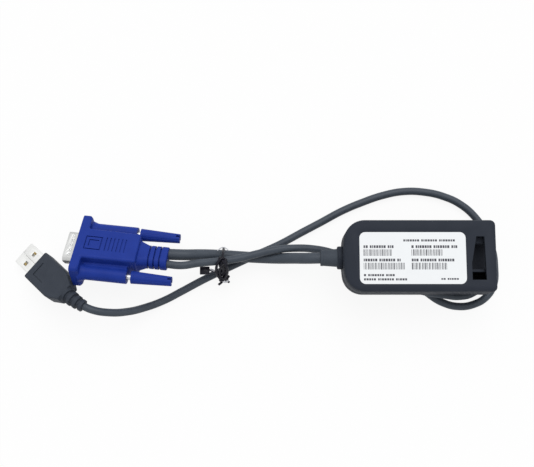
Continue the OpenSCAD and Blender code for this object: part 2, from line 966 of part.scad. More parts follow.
module video_insulator() {
    color([0.15, 0.2, 0.45])
    in_video_plug()
    difference() {
        union() {
            d_bar(insulator_front, plate_t + seat - insulator_front, -d_wall - insulator_play);
            d_bar(plate_t + seat, rear_shell_l - seat, -rear_inset - d_wall - insulator_play);
        }
        pin_field()
            translate([insulator_front - overrun, 0, 0])
                rod_x(rear_shell_l + plate_t - insulator_front + 2 * overrun, pin_r, pin_r);
    }
}

module video_pins() {
    color("gold")
    in_video_plug()
        pin_field() {
            translate([-pin_reach + pin_r, 0, 0])
                rod_x(pin_tail + pin_reach - pin_r, pin_r, pin_r);
            translate([-pin_reach + pin_r, 0, 0])
                sphere(r = pin_r);
        }
}

// Tapered knob with shallow flutes and a screwdriver slot, its front face at the origin
module knob() {
    difference() {
        rod_x(knob_l, knob_front_r, knob_back_r);
        translate([-overrun, 0, 0])
            rod_x(knob_bore_l + overrun, screw_r, screw_r);
        box_at(knob_l - knob_slot_depth, 0, -knob_front_r,
            knob_slot_depth + overrun, knob_slot_w, 2 * knob_front_r);
        for (i = [0 : knob_flutes - 1])
            rotate([360 / knob_flutes * (i + 0.5), 0, 0])
                translate([flute_end, 0, knob_front_r + flute_r - flute_sink])
                    rotate([0, atan((knob_front_r - knob_back_r) / knob_l), 0])
                        rod_x(knob_l, flute_r, flute_r);
    }
}

// Jackscrew with the groove that its ring sits in
module jackscrew(gap) {
    tip = gap - tip_reach;
    difference() {
        union() {
            translate([tip, 0, 0])
                rod_x(tip_cone_l, tip_cone_r, screw_r);
            translate([tip + tip_cone_l, 0, 0])
                rod_x(sleeve_l + gap + knob_bore_l - tip - tip_cone_l, screw_r, screw_r);
        }
        translate([ring_x + gap - ring_play, 0, 0])
            difference() {
                rod_x(ring_t + 2 * ring_play, ring_r, ring_r);
                rod_x(ring_t + 2 * ring_play, ring_groove_r, ring_groove_r);
            }
    }
}

// Open ring that snaps into the screw's groove
module captive_ring(gap) {
    translate([ring_x + gap, 0, 0])
        difference() {
            rod_x(ring_t, ring_r, ring_r);
            translate([-overrun, 0, 0])
                rod_x(ring_t + 2 * overrun, ring_groove_r + ring_play, ring_groove_r + ring_play);
            translate([-overrun, -ring_mouth / 2, 0])
                cube([ring_t + 2 * overrun, ring_mouth, 2 * ring_r]);
        }
}

module screw_place(side) {
    in_video_plug()
        translate([0, side * sleeve_y, 0])
            children();
}

module north_knob() {
    color([0.13, 0.22, 0.6])
    screw_place(1)
        translate([sleeve_l + north_gap, 0, 0])
            knob();
}

module north_jackscrew() {
    color("silver")
    screw_place(1)
        jackscrew(north_gap);
}

module north_ring() {
    color([0.5, 0.5, 0.52])
    screw_place(1)
        captive_ring(north_gap);
}

module south_knob() {
    color([0.13, 0.22, 0.6])
    screw_place(-1)
        translate([sleeve_l + south_gap, 0, 0])
            knob();
}

module south_jackscrew() {
    color("silver")
    screw_place(-1)
        jackscrew(south_gap);
}

module south_ring() {
    color([0.5, 0.5, 0.52])
    screw_place(-1)
        captive_ring(south_gap);
}

module usb_shell() {
    color("silver")
    in_usb_plug()
    difference() {
        bar_x(usb_reach + usb_tail, usb_w, usb_h, usb_corner_r);
        translate([-overrun, 0, 0])
            bar_x(usb_reach + usb_tail + 2 * overrun, usb_w - 2 * usb_wall, usb_h - 2 * usb_wall,
                usb_corner_r - usb_wall);
        for (s = [-1, 1])
            box_at(usb_hole_x, s * usb_hole_y, -usb_h, usb_hole_l, usb_hole_w, 2 * usb_h);
        box_at(-overrun, 0, 0, usb_reach + usb_tail + 2 * overrun, usb_seam, usb_h);
    }
}

module usb_tongue() {
    color([0.9, 0.9, 0.88])
    in_usb_plug()
    difference() {
        box_at(tongue_x, 0, usb_wall + seat - usb_h / 2,
            usb_reach + usb_tail - tongue_x, tongue_w, tongue_t);
        for (y = contact_ys)
            box_at(tongue_x + contact_w, y, usb_wall + seat - usb_h / 2 + tongue_t - contact_t,
                usb_reach + usb_tail, contact_w + 2 * seat, contact_t + overrun);
    }
}

module usb_contacts() {
    color("gold")
    in_usb_plug()
    for (y = contact_ys)
        box_at(tongue_x + contact_w + seat, y, usb_wall + seat - usb_h / 2 + tongue_t - contact_t,
            contact_l + usb_tail, contact_w, contact_t);
}

module usb_inner_mould() {
    color([0.92, 0.92, 0.9])
    in_usb_plug()
        translate([usb_reach + usb_tail + seat, 0, 0])
            bar_x(usb_mould_l, usb_mould_w, usb_mould_h, usb_corner_r);
}

// Steps along the bent relief: each child is drawn on the bent middle line
module along_usb_relief(share) {
    turn = usb_relief_bend * share;
    bend_r = usb_relief_l / (usb_relief_bend * PI / 180);
    translate([usb_reach + grip_l + grip_taper, 0, 0])
        rotate([usb_relief_plane, 0, 0])
            translate([bend_r * sin(turn), 0, -bend_r * (1 - cos(turn))])
                rotate([0, turn, 0])
                    children();
}

module usb_grip() {
    color([0.24, 0.26, 0.29])
    in_usb_plug()
    difference() {
        union() {
            translate([usb_reach, 0, 0])
                bar_x(grip_l, grip_w, grip_h, grip_r);
            hull() {
                translate([usb_reach + grip_l - slab_t, 0, 0])
                    bar_x(slab_t, grip_w, grip_h, grip_r, $fn = 32);
                translate([usb_reach + grip_l + grip_taper, 0, 0])
                    bar_x(slab_t, grip_back_w, grip_back_h, grip_r, $fn = 32);
            }
            for (i = [0 : usb_relief_steps - 1]) {
                share = i / usb_relief_steps;
                slotted = i % 2 == 1;
                r1 = usb_relief_r1 + (usb_relief_r2 - usb_relief_r1) * share;
                along_usb_relief(share)
                    translate([-slab_t, 0, 0])
                        rod_x(usb_relief_l / usb_relief_steps + usb_relief_lap,
                            r1 - (slotted ? usb_relief_slot_depth : 0), r1 - (slotted ? usb_relief_slot_depth : 0));
            }
        }
        translate([usb_reach - overrun, 0, 0])
            bar_x(usb_tail + overrun + seat, usb_w + 2 * seat, usb_h + 2 * seat, usb_corner_r);
        translate([usb_reach + usb_tail, 0, 0])
            bar_x(usb_mould_l + 2 * seat, usb_mould_w + 2 * seat, usb_mould_h + 2 * seat, usb_corner_r);
        // Pressed corner line on the top
        translate([usb_reach + grip_mark_x, -grip_mark_w / 2, grip_h / 2 - mark_depth]) {
            cube([mark_line, grip_mark_w, mark_depth + overrun]);
            cube([grip_mark_l, mark_line, mark_depth + overrun]);
        }
    }
}

// Unit vector
function unit(v) = v / norm(v);

// Direction of a route at one of its points
function heading(route, i) =
    unit(route[min(i + 1, len(route) - 1)] - route[max(i - 1, 0)]);

// One ring of a tube, square to the route
function ring(route, i, r, sides, side_hint) =
    let (
        t = heading(route, i),
        u = unit(cross(side_hint, t)),
        v = cross(t, u)
    )
    [for (k = [0 : sides - 1]) route[i] + r * (u * cos(360 * k / sides) + v * sin(360 * k / sides))];

// Tube with closed ends along a route
module tube(route, r, sides, side_hint) {
    n = len(route);
    points = [for (i = [0 : n - 1]) each ring(route, i, r, sides, side_hint)];
    walls = [
        for (i = [0 : n - 2], k = [0 : sides - 1])
            let (
                a = i * sides + k,
                b = i * sides + (k + 1) % sides
            )
            each [[a, a + sides, b], [b, a + sides, b + sides]]
    ];
    start_cap = [[for (k = [0 : sides - 1]) k]];
    end_cap = [[for (k = [sides - 1 : -1 : 0]) (n - 1) * sides + k]];
    polyhedron(points = points, faces = concat(walls, start_cap, end_cap));
}

module video_cable() {
    color([0.3, 0.33, 0.37])
        tube(video_route, video_d / 2, video_sides, [0, 0, 1]);
}

module usb_cable() {
    color([0.3, 0.33, 0.37])
        tube(usb_route, usb_d / 2, usb_sides, [0, 0, 1]);
}

module wire_tie() {
    color([0.08, 0.08, 0.1])
        tube(tie_route, tie_d / 2, tie_sides, [1, 0, 0]);
}

top_cover();
bottom_cover();
label();
cable_boot();
case_screws();
circuit_board();
network_socket();
socket_contacts();
pulse_transformer();
controller_chip();
memory_chip();
crystal();
capacitors();
board_header();
header_plug();
header_wires();
video_hood();
video_inner_mould();
video_front_shell();
video_rear_shell();
video_insulator();
video_pins();
north_knob();
north_jackscrew();
north_ring();
south_knob();
south_jackscrew();
south_ring();
usb_shell();
usb_tongue();
usb_contacts();
usb_inner_mould();
usb_grip();
video_cable();
usb_cable();
wire_tie();
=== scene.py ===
"""Dressed model of an adapter cable: a module with a network socket, a video plug and a USB plug.

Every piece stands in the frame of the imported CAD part. X runs from the plugs to the module, Y
across, and Z up from the table. Sizes are written in millimetres, and MM turns them into metres.
"""

import json
import logging
import math
from dataclasses import dataclass
from enum import Enum
from typing import Callable, Optional, Sequence

import bmesh
import bpy
from mathutils import Matrix, Vector

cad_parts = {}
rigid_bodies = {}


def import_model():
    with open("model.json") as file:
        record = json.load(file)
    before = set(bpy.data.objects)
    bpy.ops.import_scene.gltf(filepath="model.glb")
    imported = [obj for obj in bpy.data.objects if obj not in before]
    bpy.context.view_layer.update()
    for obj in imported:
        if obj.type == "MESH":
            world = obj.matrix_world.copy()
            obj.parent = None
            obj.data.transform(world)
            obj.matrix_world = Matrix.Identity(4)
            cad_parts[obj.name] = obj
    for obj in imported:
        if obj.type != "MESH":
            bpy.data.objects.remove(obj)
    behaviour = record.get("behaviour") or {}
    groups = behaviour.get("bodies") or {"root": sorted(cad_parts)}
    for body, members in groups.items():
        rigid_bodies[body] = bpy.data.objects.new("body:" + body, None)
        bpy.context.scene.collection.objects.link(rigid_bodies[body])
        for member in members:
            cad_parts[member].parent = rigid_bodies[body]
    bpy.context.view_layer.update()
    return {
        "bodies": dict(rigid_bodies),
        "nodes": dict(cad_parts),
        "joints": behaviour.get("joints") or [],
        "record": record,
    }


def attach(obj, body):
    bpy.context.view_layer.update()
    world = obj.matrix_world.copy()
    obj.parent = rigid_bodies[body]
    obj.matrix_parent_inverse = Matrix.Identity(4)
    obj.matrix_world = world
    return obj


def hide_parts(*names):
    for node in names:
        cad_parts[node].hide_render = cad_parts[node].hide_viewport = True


Point = tuple[float, float, float]
Color = tuple[float, float, float]
Line = Sequence[Point]
Piece = bpy.types.Object
Tree = bpy.types.NodeTree
Socket = bpy.types.NodeSocket

MM = 0.001
NUDGE = 0.01
WHITE = (1.0, 1.0, 1.0, 1.0)
ALONG_X: Point = (0.0, math.pi / 2, 0.0)
STEEP = 0.9
MERGE_GAP = 1e-7
CORD_RINGS = 12
CORD_ROUND = 8
WIRE_RINGS = 6
WIRE_ROUND = 3
log = logging.getLogger("adapter_cable")


class Side(Enum):
    """Side of the video plug that a thumbscrew stands on."""

    NORTH = 1
    SOUTH = -1


class Grain(Enum):
    """Kind of relief that a finish has."""

    SPARK = "spark"
    SMOOTH = "smooth"
    BRUSHED = "brushed"


# Finishes


CLOUD_MM = 6.0
CLOUD_RANGE = (0.35, 0.75)
SPECK_SHARE = 0.12
WEAR_MM = 3.0
WEAR_SPREAD = 0.1
BUMP_MM = 0.05
BRUSH_STRETCH = (0.15, 1.0, 1.0)
SMOOTH_FACTOR = 4


@dataclass(frozen=True)
class Graph:
    """Nodes of one material.

    Attributes:
        tree: Its node tree.
        shader: The surface shader.
        place: Socket with the object coordinates.
    """

    tree: Tree
    shader: bpy.types.Node
    place: Socket

    def noise(self, size_mm: float, detail: float, place: Optional[Socket] = None) -> Socket:
        """Adds a noise of one size.

        Args:
            size_mm: Size of the noise in millimetres.
            detail: Octaves of the noise.
            place: Coordinates, where they aren't the object's.

        Returns:
            The noise's value socket.
        """
        noise = self.tree.nodes.new("ShaderNodeTexNoise")
        noise.inputs["Scale"].default_value = 1.0 / (size_mm * MM)
        noise.inputs["Detail"].default_value = detail
        self.tree.links.new(self.place if place is None else place, noise.inputs["Vector"])
        return noise.outputs["Fac"]


@dataclass(frozen=True)
class Finish:
    """A procedural finish of one real material.

    Attributes:
        name: Name of the material.
        color: Main colour, linear.
        tone: Second colour that clouds and wear turn to.
        roughness: Middle roughness.
        grain: Kind of relief on the surface.
        grain_mm: Size of the grain in millimetres.
        relief: Strength of the relief.
        metal: One for metals.
        specular: Level of the plain gloss.
    """

    name: str
    color: Color
    tone: Color
    roughness: float = 0.55
    grain: Grain = Grain.SPARK
    grain_mm: float = 0.35
    relief: float = 0.25
    metal: float = 0.0
    specular: float = 0.3

    def material(self) -> bpy.types.Material:
        """Builds the finish once and gives it again after that.

        Returns:
            The node material.
        """
        found = bpy.data.materials.get(self.name)
        if found is not None:
            return found
        made = bpy.data.materials.new(self.name)
        made.use_nodes = True
        tree = made.node_tree
        shader = tree.nodes["Principled BSDF"]
        shader.inputs["Metallic"].default_value = self.metal
        shader.inputs["Specular IOR Level"].default_value = self.specular
        place = tree.nodes.new("ShaderNodeTexCoord").outputs["Object"]
        graph = Graph(tree, shader, place)
        self._add_color(graph)
        self._add_roughness(graph)
        self._add_relief(graph)
        return made

    def _add_color(self, graph: Graph) -> None:
        """Mixes the two colours by soft clouds and fine specks.

        Args:
            graph: Nodes of the material.
        """
        tree = graph.tree
        ramp = tree.nodes.new("ShaderNodeValToRGB")
        ramp.color_ramp.elements[0].position = CLOUD_RANGE[0]
        ramp.color_ramp.elements[0].color = (*self.color, 1.0)
        ramp.color_ramp.elements[1].position = CLOUD_RANGE[1]
        ramp.color_ramp.elements[1].color = (*self.tone, 1.0)
        tree.links.new(graph.noise(CLOUD_MM, 4.0), ramp.inputs["Fac"])
        specks = tree.nodes.new("ShaderNodeMix")
        specks.data_type = "RGBA"
        specks.blend_type = "OVERLAY"
        specks.inputs["Factor"].default_value = SPECK_SHARE
        tree.links.new(ramp.outputs["Color"], specks.inputs["A"])
        tree.links.new(graph.noise(self.grain_mm, 2.0), specks.inputs["B"])
        tree.links.new(specks.outputs["Result"], graph.shader.inputs["Base Color"])

    def _add_roughness(self, graph: Graph) -> None:
        """Varies the roughness a little, as handling does.

        Args:
            graph: Nodes of the material.
        """
        tree = graph.tree
        spread = tree.nodes.new("ShaderNodeMapRange")
        spread.inputs["To Min"].default_value = max(0.05, self.roughness - WEAR_SPREAD)
        spread.inputs["To Max"].default_value = min(1.0, self.roughness + WEAR_SPREAD)
        tree.links.new(graph.noise(WEAR_MM, 5.0), spread.inputs["Value"])
        tree.links.new(spread.outputs["Result"], graph.shader.inputs["Roughness"])

    def _add_relief(self, graph: Graph) -> None:
        """Adds the grain as bump.

        Args:
            graph: Nodes of the material.
        """
        tree = graph.tree
        bump = tree.nodes.new("ShaderNodeBump")
        bump.inputs["Strength"].default_value = self.relief
        bump.inputs["Distance"].default_value = BUMP_MM * MM
        if self.grain is Grain.SPARK:
            cells = tree.nodes.new("ShaderNodeTexVoronoi")
            cells.inputs["Scale"].default_value = 1.0 / (self.grain_mm * MM)
            tree.links.new(graph.place, cells.inputs["Vector"])
            tree.links.new(cells.outputs["Distance"], bump.inputs["Height"])
        elif self.grain is Grain.BRUSHED:
            stretch = tree.nodes.new("ShaderNodeMapping")
            stretch.inputs["Scale"].default_value = BRUSH_STRETCH
            tree.links.new(graph.place, stretch.inputs["Vector"])
            tree.links.new(graph.noise(self.grain_mm, 3.0, stretch.outputs["Vector"]),
                           bump.inputs["Height"])
        else:
            tree.links.new(graph.noise(self.grain_mm * SMOOTH_FACTOR, 3.0), bump.inputs["Height"])
        tree.links.new(bump.outputs["Normal"], graph.shader.inputs["Normal"])


COVER = Finish("cover_plastic", (0.022, 0.027, 0.038), (0.026, 0.031, 0.043), 0.62, relief=0.35,
               specular=0.12)
# Darker copy of the cover plastic for the lower cover: painted shade on the housing's lower side.
COVER_PAINTED_SHADE = Finish("base_cover_plastic", (0.018, 0.021, 0.030), (0.022, 0.026, 0.036), 0.62,
                    relief=0.35, specular=0.12)
BOOT = Finish("boot_rubber", (0.046, 0.056, 0.072), (0.056, 0.067, 0.084), 0.6, grain_mm=0.5,
              specular=0.15)
HOOD = Finish("hood_blue", (0.010, 0.032, 0.245), (0.013, 0.038, 0.275), 0.48, relief=0.3,
              specular=0.12)
GRIP = Finish("grip_plastic", (0.036, 0.043, 0.057), (0.044, 0.052, 0.067), 0.55, relief=0.35,
              specular=0.12)
JACKET = Finish("cable_jacket", (0.050, 0.061, 0.078), (0.061, 0.074, 0.093), 0.42, Grain.SMOOTH,
                relief=0.15, specular=0.2)
NICKEL = Finish("bright_nickel", (0.84, 0.845, 0.835), (0.77, 0.775, 0.765), 0.36, Grain.BRUSHED,
                0.2, 0.1, 1.0, 0.5)
SATIN_NICKEL = Finish("satin_nickel", (0.60, 0.605, 0.60), (0.52, 0.525, 0.52), 0.42,
                      Grain.BRUSHED, 0.25, 0.2, 1.0, 0.5)
STEEL = Finish("screw_steel", (0.62, 0.62, 0.63), (0.50, 0.50, 0.52), 0.3, Grain.BRUSHED, 0.15,
               0.12, 1.0, 0.5)
GOLD = Finish("contact_gold", (0.85, 0.60, 0.22), (0.75, 0.50, 0.18), 0.25, Grain.SMOOTH, 0.2,
              0.05, 1.0, 0.5)
INSULATOR = Finish("insulator_blue", (0.02, 0.05, 0.22), (0.03, 0.06, 0.26), 0.45, Grain.SMOOTH,
                   specular=0.15)
PALE_MOULD = Finish("inner_mould", (0.62, 0.62, 0.58), (0.70, 0.70, 0.66), 0.55, Grain.SMOOTH)
SOCKET = Finish("socket_plastic", (0.020, 0.022, 0.030), (0.026, 0.028, 0.037), 0.45, Grain.SMOOTH,
                specular=0.2)
BOARD = Finish("board_lacquer", (0.010, 0.075, 0.030), (0.014, 0.095, 0.040), 0.35, Grain.SMOOTH)
CHIP = Finish("chip_epoxy", (0.012, 0.012, 0.013), (0.018, 0.018, 0.019), 0.6)
HEADER = Finish("header_nylon", (0.55, 0.52, 0.42), (0.62, 0.59, 0.50), 0.5, Grain.SMOOTH)
CAN = Finish("capacitor_sleeve", (0.02, 0.03, 0.10), (0.03, 0.04, 0.14), 0.35, Grain.SMOOTH)
WIRE = Finish("wire_insulation", (0.35, 0.03, 0.02), (0.42, 0.05, 0.03), 0.45, Grain.SMOOTH)
TIE = Finish("tie_coating", (0.006, 0.006, 0.012), (0.011, 0.011, 0.019), 0.3, Grain.SMOOTH,
             relief=0.1, specular=0.2)
# Pale tie finish: painted highlights where light glints on the glossy tie.
TIE_PAINTED_HIGHLIGHT = Finish("tie_worn_edge", (0.50, 0.51, 0.55), (0.66, 0.67, 0.71), 0.4, Grain.SMOOTH)
PAPER = Finish("label_film", (0.85, 0.872, 0.89), (0.87, 0.892, 0.91), 0.45, Grain.SMOOTH, 0.8,
               0.08, specular=0.1)
INK = Finish("label_ink", (0.07, 0.07, 0.085), (0.11, 0.11, 0.125), 0.6, Grain.SMOOTH, relief=0.05,
             specular=0.15)


# Workbench


def rest() -> None:
    """Leaves edit mode and deselects everything."""
    if bpy.context.object is not None and bpy.context.object.mode != "OBJECT":
        bpy.ops.object.mode_set(mode="OBJECT")
    bpy.ops.object.select_all(action="DESELECT")


def hold(piece: Piece) -> None:
    """Selects one piece and makes it active.

    Args:
        piece: Piece to work on.
    """
    rest()
    piece.select_set(True)
    bpy.context.view_layer.objects.active = piece


def bake_place(piece: Piece, matrix: Optional[Matrix] = None) -> None:
    """Puts a piece's place into its mesh, so its object sits unturned at the origin.

    Args:
        piece: Piece to settle.
        matrix: Frame that the piece was built in, where it isn't the part's own.
    """
    hold(piece)
    if matrix is not None:
        piece.matrix_world = matrix @ piece.matrix_world
    bpy.ops.object.transform_apply(location=True, rotation=True, scale=True)


def add_box(name: str, low: Point, high: Point) -> Piece:
    """Adds a box between two corners given in millimetres.

    Args:
        name: Name of the piece.
        low: Lowest corner.
        high: Highest corner.

    Returns:
        The box.
    """
    rest()
    middle = [(a + b) / 2 * MM for a, b in zip(low, high)]
    size = [(b - a) * MM for a, b in zip(low, high)]
    bpy.ops.mesh.primitive_cube_add(size=1, location=middle, scale=size)
    piece = bpy.context.object
    piece.name = name
    bake_place(piece)
    return piece


def add_rod(name: str, start: Point, length: float, radius: float,
            end_radius: Optional[float] = None, sides: int = 48) -> Piece:
    """Adds a rod or cone along X that starts at a point, in millimetres.

    Args:
        name: Name of the piece.
        start: Middle of its first end.
        length: Its length.
        radius: Radius of the first end.
        end_radius: Radius of the last end, where it differs.
        sides: Number of sides.

    Returns:
        The rod.
    """
    rest()
    middle = (Vector(start) + Vector((length / 2, 0, 0))) * MM
    last = radius if end_radius is None else end_radius
    bpy.ops.mesh.primitive_cone_add(vertices=sides, radius1=radius * MM, radius2=last * MM,
                                    depth=length * MM, location=middle, rotation=ALONG_X)
    piece = bpy.context.object
    piece.name = name
    bake_place(piece)
    return piece


def add_curve(name: str, points: Line, radius: float, rings: int, roundness: int) -> Piece:
    """Adds a smooth round curve through points, in millimetres.

    Args:
        name: Name of the curve.
        points: Points of its middle line.
        radius: Radius of its section.
        rings: Steps from one point to the next.
        roundness: Steps of the section.

    Returns:
        The curve.
    """
    rest()
    bpy.ops.curve.primitive_bezier_curve_add(location=(0.0, 0.0, 0.0))
    curve = bpy.context.object
    curve.name = name
    line = curve.data.splines[0].bezier_points
    line.add(len(points) - len(line))
    for spot, point in zip(line, points):
        spot.co = Vector(point) * MM
        spot.handle_left_type = "AUTO"
        spot.handle_right_type = "AUTO"
    curve.data.dimensions = "3D"
    curve.data.bevel_depth = radius * MM
    curve.data.bevel_resolution = roundness
    curve.data.resolution_u = rings
    curve.data.use_fill_caps = True
    return curve


def add_wire(name: str, points: Line, radius: float) -> Piece:
    """Adds a bent wire through points, in millimetres, as a closed mesh.

    Args:
        name: Name of the piece.
        points: Points of its middle line.
        radius: Radius of the wire.

    Returns:
        The wire.
    """
    hold(add_curve(name, points, radius, WIRE_RINGS, WIRE_ROUND))
    bpy.ops.object.convert(target="MESH")
    wire = bpy.context.object
    bpy.ops.object.mode_set(mode="EDIT")
    bpy.ops.mesh.select_all(action="SELECT")
    bpy.ops.mesh.remove_doubles(threshold=MERGE_GAP)
    bpy.ops.mesh.normals_make_consistent(inside=False)
    bake_place(wire)
    return wire


def apply_modifier(piece: Piece, kind: str, **settings: object) -> None:
    """Adds one modifier to a piece and applies it.

    Args:
        piece: Piece to finish.
        kind: Type of the modifier.
        **settings: Its settings.
    """
    hold(piece)
    modifier = piece.modifiers.new(kind.lower(), kind)
    for key, value in settings.items():
        setattr(modifier, key, value)
    bpy.ops.object.modifier_apply(modifier=modifier.name)


def merge(piece: Piece, other: Piece, operation: str = "UNION") -> None:
    """Adds another piece to a piece, or cuts it out, and removes the other.

    Args:
        piece: Piece that stays.
        other: Piece that is used up.
        operation: Boolean operation.
    """
    apply_modifier(piece, "BOOLEAN", object=other, operation=operation, solver="EXACT")
    bpy.data.objects.remove(other, do_unlink=True)


def cut(piece: Piece, other: Piece) -> None:
    """Cuts another piece out of a piece and removes the other.

    Args:
        piece: Piece that stays.
        other: Piece that is used up.
    """
    merge(piece, other, "DIFFERENCE")


def join_shell(piece: Piece, other: Piece) -> None:
    """Takes another closed shell into a piece as it is.

    Args:
        piece: Piece that stays.
        other: Piece that is taken in.
    """
    hold(piece)
    other.select_set(True)
    bpy.ops.object.join()
    rest()


def pick(piece: Piece, kind: str, wanted: Callable[[object], bool]) -> None:
    """Opens edit mode with only some edges or faces selected.

    Args:
        piece: Piece to work on.
        kind: EDGE or FACE.
        wanted: Test on an edge or a face.
    """
    hold(piece)
    bpy.ops.object.mode_set(mode="EDIT")
    bpy.ops.mesh.select_mode(type=kind)
    bpy.ops.mesh.select_all(action="DESELECT")
    form = bmesh.from_edit_mesh(piece.data)
    for part in form.faces if kind == "FACE" else form.edges:
        part.select_set(wanted(part))
    bmesh.update_edit_mesh(piece.data)


def pick_end(piece: Piece) -> None:
    """Opens edit mode with only the faces that look along X selected.

    Args:
        piece: Piece to work on.
    """
    pick(piece, "FACE", lambda face: face.normal.x > STEEP)


def round_edges(piece: Piece, radius: float, wanted: Callable[[Vector, Vector], bool],
                segments: int = 6) -> None:
    """Rounds chosen edges of a piece.

    Args:
        piece: Piece to work on.
        radius: Radius in millimetres.
        wanted: Test on the two ends of an edge, in millimetres.
        segments: Steps of the rounding.
    """
    pick(piece, "EDGE", lambda edge: wanted(*(corner.co / MM for corner in edge.verts)))
    bpy.ops.mesh.bevel(offset=radius * MM, segments=segments, affect="EDGES")
    rest()


def round_all(piece: Piece, radius: float, segments: int = 3, angle: float = 35.0) -> None:
    """Rounds every sharp edge a little and smooths the shading.

    Args:
        piece: Piece to finish.
        radius: Radius in millimetres.
        segments: Steps of the rounding.
        angle: Least angle of an edge that is rounded, in degrees.
    """
    apply_modifier(piece, "BEVEL", width=radius * MM, segments=segments, limit_method="ANGLE",
                   angle_limit=math.radians(angle), use_clamp_overlap=True)
    smooth(piece)


def smooth(piece: Piece, angle: float = 40.0) -> None:
    """Smooths the shading up to an angle.

    Args:
        piece: Piece to finish.
        angle: Greatest angle that shades smoothly, in degrees.
    """
    hold(piece)
    bpy.ops.object.shade_smooth_by_angle(angle=math.radians(angle))
    rest()


def mould(piece: Piece, voxel: float, passes: int) -> None:
    """Turns joined forms into one moulded skin with soft edges.

    Args:
        piece: Piece to finish.
        voxel: Step of the skin in millimetres.
        passes: Rounds of smoothing.
    """
    apply_modifier(piece, "REMESH", mode="VOXEL", voxel_size=voxel * MM)
    apply_modifier(piece, "SMOOTH", factor=0.5, iterations=passes)
    hold(piece)
    bpy.ops.object.shade_smooth()
    rest()


def finish_piece(piece: Piece, body: str, finish: Finish, slot: str, *nodes: str) -> None:
    """Dresses a finished piece, and lets it ride and stand for its CAD nodes.

    Args:
        piece: Finished piece.
        body: CAD body that it rides on.
        finish: Its finish.
        slot: Material slot of the record; not used.
        *nodes: CAD nodes that it stands for.
    """
    piece.data.materials.clear()
    piece.data.materials.append(finish.material())
    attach(piece, body)
    if nodes:
        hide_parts(*nodes)
    log.info("piece %s rides on %s with finish %s", piece.name, body, finish.name)


def copy_node(frame: dict, node: str, name: str) -> Piece:
    """Copies a CAD node's mesh into a new piece of clean faces.

    Args:
        frame: The loaded frame.
        node: Name of the CAD node.
        name: Name of the new piece.

    Returns:
        The new piece, with its doubled points merged.
    """
    rest()
    piece = bpy.data.objects.new(name, frame["nodes"][node].data.copy())
    bpy.context.scene.collection.objects.link(piece)
    hold(piece)
    if piece.data.has_custom_normals:
        bpy.ops.mesh.customdata_custom_splitnormals_clear()
    bpy.ops.object.mode_set(mode="EDIT")
    bpy.ops.mesh.select_all(action="SELECT")
    bpy.ops.mesh.remove_doubles(threshold=10 * MERGE_GAP)
    bpy.ops.mesh.dissolve_limited(angle_limit=math.radians(0.5))
    rest()
    return piece


def dress_nodes(frame: dict, finishes: dict[str, Finish]) -> None:
    """Gives CAD nodes their finishes.

    Args:
        frame: The loaded frame.
        finishes: Finish of each node.
    """
    for node, finish in finishes.items():
        slots = frame["nodes"][node].data.materials
        if not slots:
            slots.append(finish.material())
        for i in range(len(slots)):
            slots[i] = finish.material()
        log.info("node %s has finish %s", node, finish.name)


# Studio


